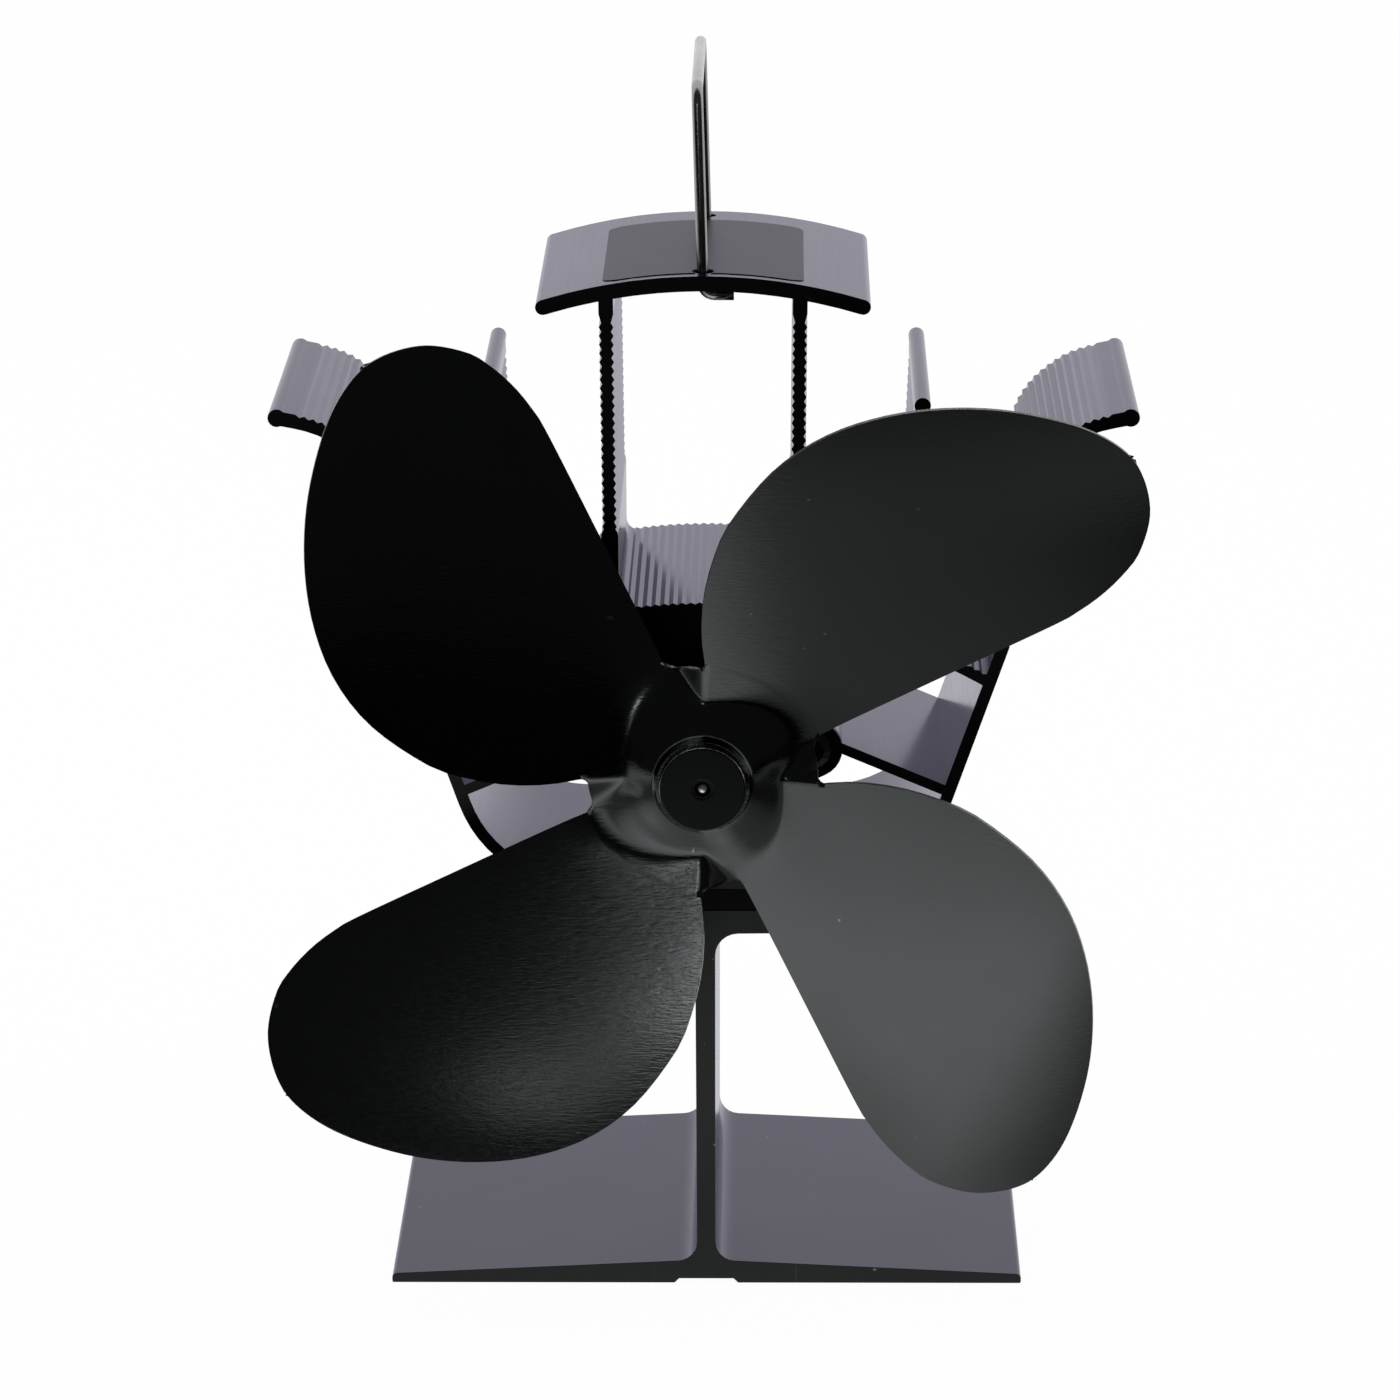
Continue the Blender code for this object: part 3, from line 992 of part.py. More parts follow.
def build_blades(parts):
    """The one pressed sheet: domed hub and four pitched blades, as an open surface with a thickness."""
    straight, bulge = blade_edges()
    quarter = 2.0 * math.pi / BLADE_COUNT
    low = angle_of(straight[0])
    high = angle_of(bulge[0])
    shape = bmesh.new()

    def place(radius, angle, pitched, blade):
        turn = angle + math.radians(BLADE_LINE_DEG) + blade * quarter
        forward = sheet_forward(radius, pitched)
        return shape.verts.new((radius * math.cos(turn), radius * math.sin(turn), forward))

    def hub_point(radius, blade, column):
        if column <= BLADE_COLUMNS:
            share = column / BLADE_COLUMNS
            angle = low + (high - low) * share
            pitched = blade_forward(radius, angle, share, radius * (high - low))
        else:
            share = (column - BLADE_COLUMNS) / GAP_COLUMNS
            angle = high + (low + quarter - high) * share
            front = blade_forward(radius, high, 1.0, 0.0)
            back = blade_forward(radius, low, 0.0, 0.0)
            pitched = front + (back - front) * ease(share)
        return place(radius, angle, pitched, blade)

    columns = BLADE_COLUMNS + GAP_COLUMNS
    rings = []
    for radius in hub_radii():
        rings.append([hub_point(radius, blade, column)
                      for blade in range(BLADE_COUNT) for column in range(columns)])
    around = len(rings[0])
    for inner, outer in zip(rings, rings[1:]):
        for index in range(around):
            after = (index + 1) % around
            shape.faces.new((inner[index], outer[index], outer[after], inner[after]))
    for blade in range(BLADE_COUNT):
        row = rings[-1][blade * columns:blade * columns + BLADE_COLUMNS + 1]
        for ring in range(1, BLADE_RINGS):
            out = 1.0 - (1.0 - ring / BLADE_RINGS) ** BLADE_CROWDING_SHARE
            first = along(straight, track_length(straight) * out)[0]
            last = along(bulge, track_length(bulge) * out)[0]
            width = (last - first).length
            outer = []
            for column in range(BLADE_COLUMNS + 1):
                share = column / BLADE_COLUMNS
                radius = first.length + (last.length - first.length) * share
                angle = angle_of(first) + (angle_of(last) - angle_of(first)) * share
                outer.append(place(radius, angle, blade_forward(radius, angle, share, width), blade))
            for column in range(BLADE_COLUMNS):
                shape.faces.new((row[column], outer[column], outer[column + 1], row[column + 1]))
            row = outer
        radius, angle = straight[-1].length, angle_of(straight[-1])
        tip = place(radius, angle, blade_forward(radius, angle, 0.5, 0.0), blade)
        for column in range(BLADE_COLUMNS):
            shape.faces.new((row[column], tip, row[column + 1]))
    bmesh.ops.recalc_face_normals(shape, faces=shape.faces)
    if sum(face.normal.z for face in shape.faces) < 0.0:
        bmesh.ops.reverse_faces(shape, faces=shape.faces)
    mesh = bpy.data.meshes.new("blade_wheel")
    shape.to_mesh(mesh)
    shape.free()
    wheel = add_mesh("blade_wheel", mesh, parts, "blade_black")
    wheel.rotation_euler = (math.pi / 2.0, 0.0, 0.0)
    wheel.location = motor_place()
    sheet = wheel.modifiers.new("Sheet", "SOLIDIFY")
    sheet.thickness = SHEET_THICKNESS
    sheet.offset = -1.0
    return wheel


def build_hub(parts):
    """The nose sleeve through the sheet, the nut behind it, and the shaft with its rounded end."""
    place = motor_place()
    bore = SHAFT_RADIUS + SEAT_GAP
    back = SLEEVE_BACK_FORWARD
    flange_back = NOSE_FORWARD - NOSE_FLANGE_THICKNESS
    recess = NOSE_FORWARD - NOSE_RECESS_DEPTH
    sleeve = [(bore, recess), (NOSE_RECESS_RADIUS, recess),
              (NOSE_RECESS_RADIUS, NOSE_FORWARD), (NOSE_RADIUS - NOSE_EDGE, NOSE_FORWARD),
              (NOSE_RADIUS, NOSE_FORWARD - NOSE_EDGE), (NOSE_RADIUS, flange_back),
              (SLEEVE_RADIUS, flange_back),
              (SLEEVE_RADIUS, back), (bore, back)]
    nose = turned("nose_sleeve", sleeve, place, parts, "hub_black", ROUND_STEPS)
    nut_front = flange_back - SEAT_GAP - SHEET_THICKNESS - SEAT_GAP
    inner = SLEEVE_RADIUS + SEAT_GAP
    nut_back = nut_front - HUB_NUT_THICKNESS
    nut = turned("hub_nut", [(inner, nut_front), (HUB_NUT_RADIUS, nut_front), (HUB_NUT_RADIUS, nut_back),
                             (inner, nut_back)], place, parts, "brass", NUT_STEPS)
    dome = []
    for angle in SHAFT_END_DEGREES:
        turn = math.radians(angle)
        dome.append((SHAFT_RADIUS * math.sin(turn), NOSE_FORWARD - SHAFT_RADIUS * (1.0 - math.cos(turn))))
    shaft_back = -(MOTOR_LENGTH + END_CAP_THICKNESS + END_CAP_HUB_LENGTH + SEAT_GAP)
    shaft_profile = dome + [(SHAFT_RADIUS, shaft_back), (0.0, shaft_back)]
    shaft = turned("motor_shaft", shaft_profile, place, parts, "steel")
    return [nose, nut, shaft]


def build_armature(parts):
    """The three-pole armature core and the commutator, both on the shaft inside the can."""
    axis = Vector((0.0, AXIS_HEIGHT))
    bore = SHAFT_RADIUS + SEAT_GAP
    magnet_inner = MOTOR_RADIUS - MOTOR_WALL - SEAT_GAP - MAGNET_THICKNESS
    rim = magnet_inner - ARMATURE_AIR_GAP
    shoe = rim - ARMATURE_SHOE_THICKNESS
    half_shoe = ARMATURE_SHOE_ARC_DEG / 2.0
    half_pole = ARMATURE_POLE_WIDTH / 2.0
    pole_at_shoe = math.degrees(math.asin(half_pole / shoe))
    pole_at_hub = math.degrees(math.asin(half_pole / ARMATURE_HUB_RADIUS))
    outline = []
    for pole in range(3):
        middle = 90.0 + 120.0 * pole
        outline += arc(axis, ARMATURE_HUB_RADIUS, middle - 60.0, middle - pole_at_hub, 2)[1:]
        outline += arc(axis, shoe, middle - pole_at_shoe, middle - half_shoe, 3)
        outline += arc(axis, rim, middle - half_shoe, middle + half_shoe, 8)
        outline += arc(axis, shoe, middle + half_shoe, middle + pole_at_shoe, 3)
        outline += arc(axis, ARMATURE_HUB_RADIUS, middle + pole_at_hub, middle + 60.0, 2)
    hole = circle(0.0, AXIS_HEIGHT, bore)
    start = FRONT + ARMATURE_START
    core = extruded("armature_core", [outline, hole], start, start + ARMATURE_LENGTH, parts, "steel")
    back = ARMATURE_START + ARMATURE_LENGTH + SEAT_GAP
    ring = [(bore, -back), (COMMUTATOR_RADIUS, -back), (COMMUTATOR_RADIUS, -back - COMMUTATOR_LENGTH),
            (bore, -back - COMMUTATOR_LENGTH)]
    return [core, turned("commutator", ring, motor_place(), parts, "brass")]


def bent_wire(corners, radius, steps=6):
    """A wire's middle line, with a bend of the given radius at each inner corner."""
    corners = [Vector(corner) for corner in corners]
    line = [corners[0]]
    for before, corner, after in zip(corners, corners[1:], corners[2:]):
        first, second = (before - corner).normalized(), (after - corner).normalized()
        half = first.angle(second) / 2.0
        centre = corner + (first + second).normalized() * (radius / math.sin(half))
        start = corner + first * (radius / math.tan(half)) - centre
        axis = second.cross(first)
        turn = math.pi - 2.0 * half
        for step in range(steps + 1):
            line.append(centre + Matrix.Rotation(turn * step / steps, 3, axis) @ start)
    line.append(corners[-1])
    return line


def build_handle(parts):
    """The wire bail: two legs through the cap's slots, hooked under it, and a bar along the top."""
    top = CAP_TOP + HANDLE_RISE - HANDLE_WIRE_RADIUS
    hook_level = CAP_UNDERSIDE - SEAT_GAP - HANDLE_WIRE_RADIUS
    pivot = HANDLE_PIVOT_HEIGHT
    hooks = []
    for y in (HANDLE_FRONT, HANDLE_BACK):
        hooks.append([(HANDLE_HOOK_REACH, y, hook_level), (0.0, y, hook_level), (0.0, y, pivot)])
    front = bent_wire([*hooks[0][:2], (-HANDLE_LEAN, HANDLE_FRONT, top)], HANDLE_HOOK_RADIUS)[:-1]
    back = bent_wire([*hooks[1][:2], (-HANDLE_LEAN, HANDLE_BACK, top)], HANDLE_HOOK_RADIUS)[:-1]
    crown = bent_wire([front[-1], (-HANDLE_LEAN, HANDLE_FRONT, top), (-HANDLE_LEAN, HANDLE_BACK, top),
                       back[-1]], HANDLE_CORNER_RADIUS)
    points = front[:-1] + crown + back[:-1][::-1]
    return tube("handle", points, HANDLE_WIRE_RADIUS, parts, "steel", 3)


def lead_points(side):
    """A lead's middle line: out through the frame's back, up behind the core, and forward to a terminal."""
    across = side * LEAD_SPACING / 2.0
    level = MODULE_MIDDLE_HEIGHT
    start = SINK_MIDDLE + MODULE_SIDE / 2.0 - MODULE_CORE_INSET + SEAT_GAP
    forward = TERMINAL_BACK + SEAT_GAP - SINK_BACK
    out = side * TERMINAL_OFFSET - across
    route = [(across, start, level), (across, (start + SINK_BACK) / 2.0, level)]
    for out_share, bulge_share, forward_share, rise_share in LEAD_ROUTE_SHARES:
        route.append((across + out * out_share,
                      SINK_BACK + LEAD_BULGE * bulge_share + forward * forward_share,
                      level + (AXIS_HEIGHT - level) * rise_share))
    return smooth_line(route, 2)


def build_leads(parts):
    tube("lead_red", lead_points(1.0), LEAD_RADIUS, parts, "red_sleeve")
    tube("lead_black", lead_points(-1.0), LEAD_RADIUS, parts, "black_sleeve")


def carry(name, place, things):
    """An empty on the joint's axis that carries the pieces of a moving body."""
    holder = bpy.data.objects.new(name, None)
    holder.location = place
    bpy.context.scene.collection.objects.link(holder)
    bpy.context.view_layer.update()
    for thing in things:
        thing.parent = holder
        thing.matrix_parent_inverse = holder.matrix_world.inverted()


def main():
    clear_scene()
    parts = new_collection("stove_fan")
    cutters = new_collection("cutters")
    build_foot(parts, cutters)
    build_heat_sink(parts, cutters)
    build_sandwich(parts, cutters)
    build_clamps(parts, cutters)
    build_strip(parts, cutters)
    build_motor(parts, cutters)
    build_clamp_plate(parts, cutters)
    rotor = [build_blades(parts)] + build_hub(parts) + build_armature(parts)
    handle = build_handle(parts)
    build_leads(parts)
    carry("rotor_axis", motor_place(), rotor)
    carry("handle_axis", (0.0, SINK_MIDDLE, HANDLE_PIVOT_HEIGHT), [handle])


main()
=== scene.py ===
"""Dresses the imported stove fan: finer visible pieces, finishes, stage, lamps and camera."""
import math

import bmesh
import bpy
from bpy.props import FloatProperty, FloatVectorProperty, PointerProperty
from mathutils import Matrix, Vector


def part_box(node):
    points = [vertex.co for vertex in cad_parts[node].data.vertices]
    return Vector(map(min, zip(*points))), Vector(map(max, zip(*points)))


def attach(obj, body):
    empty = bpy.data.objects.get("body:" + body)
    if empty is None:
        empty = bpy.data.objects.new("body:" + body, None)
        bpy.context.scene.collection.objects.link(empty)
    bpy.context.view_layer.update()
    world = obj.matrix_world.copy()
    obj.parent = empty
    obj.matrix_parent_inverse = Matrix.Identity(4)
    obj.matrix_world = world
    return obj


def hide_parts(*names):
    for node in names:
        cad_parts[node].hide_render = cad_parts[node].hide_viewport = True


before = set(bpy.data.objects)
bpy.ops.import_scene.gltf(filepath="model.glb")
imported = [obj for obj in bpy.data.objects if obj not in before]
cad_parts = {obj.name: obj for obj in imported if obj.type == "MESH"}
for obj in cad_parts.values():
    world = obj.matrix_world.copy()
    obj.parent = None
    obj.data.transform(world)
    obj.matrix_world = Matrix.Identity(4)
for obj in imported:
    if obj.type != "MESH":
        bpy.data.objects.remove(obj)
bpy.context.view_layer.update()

bl_info = {
    "name": "Stove fan",
    "version": (1, 0, 0),
    "blender": (4, 5, 0),
    "location": "3D View > Sidebar > Stove fan",
    "description": "Dresses a heat-powered stove fan and sets its stage",
    "category": "Object",
}

# Pieces that keep their own solids, by the finish that each one takes
FINISHED_NODES = {
    "graphite foil": ("hot_side_pad", "cold_side_pad"),
    "module ceramic": ("module_hot_plate", "module_cold_plate"),
    "module filling": ("module_core",),
    "insulating board": ("insulation_frame", "insulating_bush_1", "insulating_bush_2", "insulating_bush_3",
                         "insulating_bush_4"),
    "spring steel": ("spring_washer_1", "spring_washer_2", "spring_washer_3", "spring_washer_4"),
    "screw steel": ("clamp_screw_1", "clamp_screw_2", "clamp_screw_3", "clamp_screw_4", "bimetal_screw",
                    "motor_screw_1", "motor_screw_2"),
    "bimetal": ("bimetal_strip",),
    "zinc plate": ("motor_can",),
    "bronze": ("front_bush", "rear_bush"),
    "ferrite": ("magnet_left", "magnet_right"),
    "moulded plastic": ("motor_end_cap",),
    "brass": ("terminal_red_side", "terminal_black_side", "hub_nut", "commutator"),
    "lamination steel": ("armature_core",),
    "clamp plate black": ("motor_clamp_plate", "ear_screw_1", "ear_screw_2"),
    "red sleeve": ("lead_red",),
    "black sleeve": ("lead_black",),
}

# The pressed sheet's outline, in shares of the blade's reach, as rows of (along, across)
BULGE_SHARES = (
    (0.096, 0.180), (0.125, 0.262), (0.167, 0.336), (0.222, 0.401), (0.277, 0.447), (0.389, 0.502),
    (0.499, 0.522), (0.610, 0.511), (0.722, 0.474), (0.832, 0.412), (0.932, 0.326), (0.986, 0.248),
    (1.000, 0.180))
STRAIGHT_SHARES = (
    (1.000, 0.180), (0.981, 0.101), (0.932, 0.038), (0.887, 0.010), (0.832, -0.011), (0.777, -0.0225),
    (0.721, -0.0270), (0.500, -0.0275), (0.300, -0.0275), (0.150, -0.0275))
OUTLINE_SPANS = 14      # short lines between two of these points
BLADES = 4
BLADE_TURN = 2.0 * math.pi / BLADES
HOLE_RADIUS = 0.0035
NOSE_FLANGE = 0.0015    # thickness of the nose's flange, which lies on the sheet
RIM_ROUND = 0.20        # share of the sheet's thickness that its blanked edge is rounded by
ARC_WEIGHT = 1.414      # pull of the middle point of a rounded corner

MERGE_DISTANCE = 0.000001
FLAT_ANGLE = 0.4        # degrees: faces this close to one plane are joined
EASED_ANGLE = 32.0      # degrees: a solid's edges sharper than this are eased
RIM_ANGLE = 50.0        # degrees: the same on the pressed sheet
NOSE_EDGE = 0.00012
SHAFT_EDGE = 0.00005

LABEL_CORNER = 0.0022
LABEL_LIFT = 0.00002
LABEL_HOLE = 0.0019     # radius of the hole for the handle's front leg
LABEL_DRILL = 0.02      # length of the cylinder that cuts it
LABEL_COLUMNS, LABEL_ROWS = 40, 60

# Places of the Mix node's sockets for colours, which share their names with other kinds
MIX_SHARE, MIX_FIRST, MIX_SECOND, MIX_COLOUR = 0, 6, 7, 2

# The photograph's camera, worked out from the fan's own straight edges
PHOTO_PIXELS = 1400.0
FOCAL_PIXELS = 6152.2
SENSOR_WIDTH = 36.0
CAMERA_PLACE = (0.01408, -1.03681, 0.40044)
CAMERA_PITCH, CAMERA_YAW, CAMERA_ROLL = 16.156, -0.838, 0.214

# Name, place, width and height, power, and whether metal shows it
LAMPS = (
    ("Overhead softbox", (0.10, 0.25, 1.30), (1.6, 1.6), 10.0, False),
    ("Side softbox", (-1.30, 0.10, 0.70), (1.0, 1.0), 5.0, False),
    ("Front lamp", (-0.165, -1.20, 0.25), (0.10, 0.08), 0.18, True),
    ("Low front lamp", (-0.30, -1.20, 0.14), (0.10, 0.06), 0.032, True),
)
LAMP_TARGET = (0.0, 0.0, 0.09)
FLOOR_CORNERS = ((-2.5, -1.6, 0.0), (2.5, -1.6, 0.0), (2.5, 3.5, 0.0), (-2.5, 3.5, 0.0))
FLOOR_SEEN = 0.97       # share of plain white in what the camera sees of the floor

# Painted light and shade on the floor, which only metal shows: where each change begins and ends, and how
# much painted light it adds or takes
FAR_FRONT = (-0.15, -0.42)
FRONT = (-0.03, -0.08)
# painted light: a brighter band of floor from a little way in front of the fan
AHEAD, AHEAD_GAIN = (-0.060, -0.100), 0.32
# painted shade on the floor in front of the fan, to its right
RIGHT, RIGHT_LOSS = (0.018, 0.044), 0.74
# painted shadow of the fan on the floor, just in front of it on the left
LEFT, FAN_SHADOW_LOSS = (0.02, -0.03), 0.60
# painted shade on the floor to both sides in front of the fan
SIDES, SIDES_LOSS = (0.05 ** 2, 0.15 ** 2), 0.85
SIDES_DEPTH = (-0.22, -0.18)

# How metal shows the studio's front side, and the light of the studio on matt surfaces
FRONT_SIDE, FRONT_SIDE_LOSS = (0.0, 0.30), 0.965
STUDIO_FILL = 0.55


class StoveFanSizes(bpy.types.PropertyGroup):
    """Sizes of the visible pieces."""

    cut_edge: FloatProperty(
        name="Cut edge", description="Softness of an extrusion's sawn edges", default=0.00008, unit="LENGTH")
    blade_reach: FloatProperty(
        name="Blade reach", description="A blade's length from the axis, along its straight edge",
        default=0.0890, unit="LENGTH")
    blade_line: FloatProperty(
        name="Blade line", description="Direction of the first blade's straight edge",
        default=math.radians(25.75), subtype="ANGLE")
    blade_pitch: FloatProperty(
        name="Blade pitch", description="Rise of a blade for each step across it", default=0.274)
    blade_offset: FloatProperty(
        name="Blade offset", description="A blade's straight edge in front of the heat sink",
        default=0.01497, unit="LENGTH")
    blade_camber: FloatProperty(
        name="Blade camber", description="Height of a blade's hollow", default=0.0007, unit="LENGTH")
    sheet_thickness: FloatProperty(
        name="Sheet thickness", description="Thickness of the pressed sheet", default=0.0008, unit="LENGTH")
    hub_land: FloatProperty(
        name="Hub land", description="Radius of the flat that the nose sits on",
        default=0.0079, unit="LENGTH")
    hub_cone: FloatProperty(
        name="Hub cone", description="Radius at which the cone begins", default=0.0083, unit="LENGTH")
    hub_skirt: FloatProperty(
        name="Hub skirt", description="Radius at which the gaps between blades begin",
        default=0.0194, unit="LENGTH")
    hub_drop: FloatProperty(
        name="Hub drop", description="Height of the pressed step under the nose",
        default=0.0018, unit="LENGTH")
    hub_slope: FloatProperty(
        name="Hub slope", description="Fall of the cone for each step outward", default=0.64)
    hub_crease: FloatProperty(
        name="Hub crease", description="Softness of the crease between cone and blade",
        default=0.0005, unit="LENGTH")
    hub_blend: FloatProperty(
        name="Hub blend", description="How many times softer the crease is at a blade's straight edge",
        default=6.0)
    gap_round: FloatProperty(
        name="Gap round", description="Radius in the inner corners of the gaps",
        default=0.0016, unit="LENGTH")
    cap_radius: FloatProperty(
        name="Cap radius", description="Radius of the cap's top", default=0.0930, unit="LENGTH")
    wire_radius: FloatProperty(
        name="Handle wire", description="Radius of the handle's wire", default=0.0010, unit="LENGTH")
    label_width: FloatProperty(
        name="Label width", description="Width of the bare label on the cap", default=0.0340, unit="LENGTH")
    label_front: FloatProperty(
        name="Label front", description="Plain metal in front of the label", default=0.0022, unit="LENGTH")
    label_depth: FloatProperty(
        name="Label depth", description="Depth of the label", default=0.0440, unit="LENGTH")
    label_thickness: FloatProperty(
        name="Label thickness", description="Thickness of the label's film", default=0.00012, unit="LENGTH")


class StoveFanColours(bpy.types.PropertyGroup):
    """Colours of the visible pieces."""

    anodised: FloatVectorProperty(
        name="Anodised", description="Black anodised extrusion", default=(0.046, 0.045, 0.048),
        subtype="COLOR")
    anodised_sheen: FloatVectorProperty(
        name="Anodised sheen", description="Tint of the anodising at a low angle", default=(0.90, 0.885, 1.0),
        subtype="COLOR")
    foot_cut: FloatVectorProperty(
        name="Foot cut", description="Sawn end of the foot", default=(0.021, 0.023, 0.022), subtype="COLOR")
    sink_cut: FloatVectorProperty(
        name="Sink cut", description="Sawn end of the heat sink", default=(0.020, 0.022, 0.021),
        subtype="COLOR")
    blade: FloatVectorProperty(
        name="Blade", description="Pressed blade sheet", default=(0.070, 0.075, 0.075), subtype="COLOR")
    # This colour is also painted in a thin band at the nose's outer edge as a highlight
    bare_edge: FloatVectorProperty(
        name="Bare edge", description="Metal that shows on blanked and turned edges",
        default=(0.30, 0.30, 0.29), subtype="COLOR")
    nose: FloatVectorProperty(
        name="Nose", description="Turned nose in front of the blades", default=(0.018, 0.020, 0.0195),
        subtype="COLOR")
    wire: FloatVectorProperty(
        name="Wire", description="Stainless handle wire", default=(0.33, 0.33, 0.33), subtype="COLOR")
    label: FloatVectorProperty(
        name="Label", description="Bare label film", default=(0.019, 0.018, 0.021), subtype="COLOR")
    floor: FloatVectorProperty(
        name="Floor", description="Pale floor", default=(0.88, 0.88, 0.88), subtype="COLOR")


class Value:
    """An output socket that adds a Math node for each sum, product or power it is used in."""

    def __init__(self, finish, socket):
        self.finish = finish
        self.socket = socket

    def math(self, operation, first, second):
        return self.finish.value("ShaderNodeMath", {"operation": operation}, {0: first, 1: second})

    def __add__(self, other):
        return self.math("ADD", self, other)

    def __sub__(self, other):
        return self.math("SUBTRACT", self, other)

    def __rsub__(self, other):
        return self.math("SUBTRACT", other, self)

    def __mul__(self, other):
        return self.math("MULTIPLY", self, other)

    def __pow__(self, other):
        return self.math("POWER", self, other)

    __radd__ = __add__
    __rmul__ = __mul__


class Finish:
    """A node tree under construction: a material's or the world's."""

    def __init__(self, tree):
        self.tree = tree

    def node(self, kind, settings=None, sockets=None):
        """A new node with these settings, and these sockets linked or set."""
        node = self.tree.nodes.new(kind)
        for name, setting in (settings or {}).items():
            setattr(node, name, setting)
        for name, given in (sockets or {}).items():
            self.feed(node.inputs[name], given)
        return node

    def feed(self, socket, given):
        """Links a value to a socket, or sets the socket to a constant."""
        if isinstance(given, Value):
            self.tree.links.new(given.socket, socket)
        elif socket.type == "RGBA" and len(given) == 3:
            socket.default_value = (*given, 1.0)
        else:
            socket.default_value = given

    def value(self, kind, settings=None, sockets=None, output=0):
        """A new node's output."""
        return Value(self, self.node(kind, settings, sockets).outputs[output])

    def place(self, stretch=(1.0, 1.0, 1.0)):
        """Object coordinates, stretched."""
        spot = self.value("ShaderNodeTexCoord", output="Object")
        return self.value("ShaderNodeVectorMath", {"operation": "MULTIPLY"}, {0: spot, 1: stretch})

    def noise(self, scale, stretch=(1.0, 1.0, 1.0), detail=2.0, roughness=0.5):
        """Noise about 0.5, over stretched object coordinates."""
        return self.value("ShaderNodeTexNoise", None, {
            "Vector": self.place(stretch), "Scale": scale, "Detail": detail, "Roughness": roughness})

    def spread(self, value, low, high, to_low=0.0, to_high=1.0):
        """Value taken from one range into another, held at its ends."""
        return self.value("ShaderNodeMapRange", {"clamp": True}, {
            "Value": value, "From Min": low, "From Max": high, "To Min": to_low, "To Max": to_high})

    def blend(self, share, first, second):
        """A colour between two."""
        node = self.node("ShaderNodeMix", {"data_type": "RGBA"})
        self.feed(node.inputs[MIX_SHARE], share)
        self.feed(node.inputs[MIX_FIRST], first)
        self.feed(node.inputs[MIX_SECOND], second)
        return Value(self, node.outputs[MIX_COLOUR])

    def bump(self, height, strength, distance):
        """A normal that leans with the height."""
        return self.value("ShaderNodeBump", None, {
            "Strength": strength, "Distance": distance, "Height": height})

    def split(self, kind, output):
        """The node that splits a coordinate or a normal into X, Y and Z."""
        return self.node("ShaderNodeSeparateXYZ", None, {0: self.value(kind, output=output)})

    def output(self, node, name):
        """One output of a node."""
        return Value(self, node.outputs[name])


def new_finish(name, **sockets):
    """A material of this name with a Principled shader, and the tree to add nodes to."""
    material = bpy.data.materials.new(name)
    material.use_nodes = True
    finish = Finish(material.node_tree)
    finish.material = material
    finish.shader = material.node_tree.nodes["Principled BSDF"]
    shade(finish, **sockets)
    return finish


def shade(finish, **sockets):
    """Feeds the shader's sockets, whose names have _ for each space, and gives the material."""
    for socket, given in sockets.items():
        finish.feed(finish.shader.inputs[socket.replace("_", " ")], given)
    return finish.material


def scaled(colour, share):
    """A colour made lighter or darker."""
    return tuple(part * share for part in colour)


def extrusion_finish(name, colours, cut_face):
    """Black anodised extrusion: faint die lines along its length, sawn ends."""
    finish = new_finish(name, Metallic=1.0, Specular_Tint=tuple(colours.anodised_sheen))
    forward = finish.output(finish.split("ShaderNodeNewGeometry", "Normal"), "Y")
    end = finish.spread(forward * forward, 0.80, 0.95)
    lines = finish.noise(2400.0, (1.0, 0.010, 1.0), 3.0, 0.6)
    saw = finish.noise(1900.0, (0.10, 1.0, 1.0), 2.0, 0.5)
    scratch = finish.spread(finish.noise(520.0, (1.0, 1.0, 0.07), 1.0), 0.735, 0.750)
    cloud = finish.noise(38.0, detail=3.0)
    speck = finish.spread(finish.noise(640.0, detail=1.0), 0.800, 0.825)
    body = finish.blend(finish.spread(cloud, 0.3, 0.7), colours.anodised, scaled(colours.anodised, 0.90))
    sawn = finish.blend(scratch, cut_face, scaled(cut_face, 1.7))
    colour = finish.blend(speck, finish.blend(end, body, sawn), scaled(colours.anodised, 3.0))
    rough = 0.19 + 0.02 * finish.spread(lines, 0.35, 0.65) + 0.03 * cloud + 0.10 * end
    relief = lines * (1.0 - end) * 0.25 + saw * end
    return shade(finish, Base_Color=colour, Roughness=rough, Normal=finish.bump(relief, 0.12, 0.00002))


def blade_finish(colours):
    """Black anodised sheet, finely brushed, with a few specks of dust."""
    finish = new_finish("Brushed black sheet", Metallic=1.0)
    fine = finish.noise(3000.0, (0.15, 1.0, 1.0), 2.0, 0.6)
    coarse = finish.noise(1500.0, (0.14, 1.0, 1.0), 2.0, 0.5)
    cloud = finish.noise(26.0, detail=3.0)
    speck = finish.spread(finish.noise(430.0, detail=1.0), 0.79, 0.83)
    base = finish.blend(finish.spread(cloud, 0.35, 0.65), colours.blade, scaled(colours.blade, 0.90))
    colour = finish.blend(speck, base, scaled(colours.blade, 3.0))
    rough = 0.11 + 0.05 * finish.spread(fine, 0.3, 0.7) + 0.03 * cloud
    return shade(finish, Base_Color=colour, Roughness=rough,
                 Normal=finish.bump(fine + coarse * 0.5, 0.46, 0.00003))


def edge_finish(colours):
    """Bare metal on the blanked rim of the sheet, streaked through its thickness."""
    finish = new_finish("Blanked rim", Metallic=1.0)
    tear = finish.noise(3000.0, (1.0, 0.15, 1.0), 2.0, 0.6)
    tint = finish.blend(finish.spread(tear, 0.35, 0.65), scaled(colours.bare_edge, 0.6),
                        scaled(colours.bare_edge, 0.25))
    return shade(finish, Base_Color=tint, Roughness=0.30 + 0.12 * tear,
                 Normal=finish.bump(tear, 0.15, 0.00002))


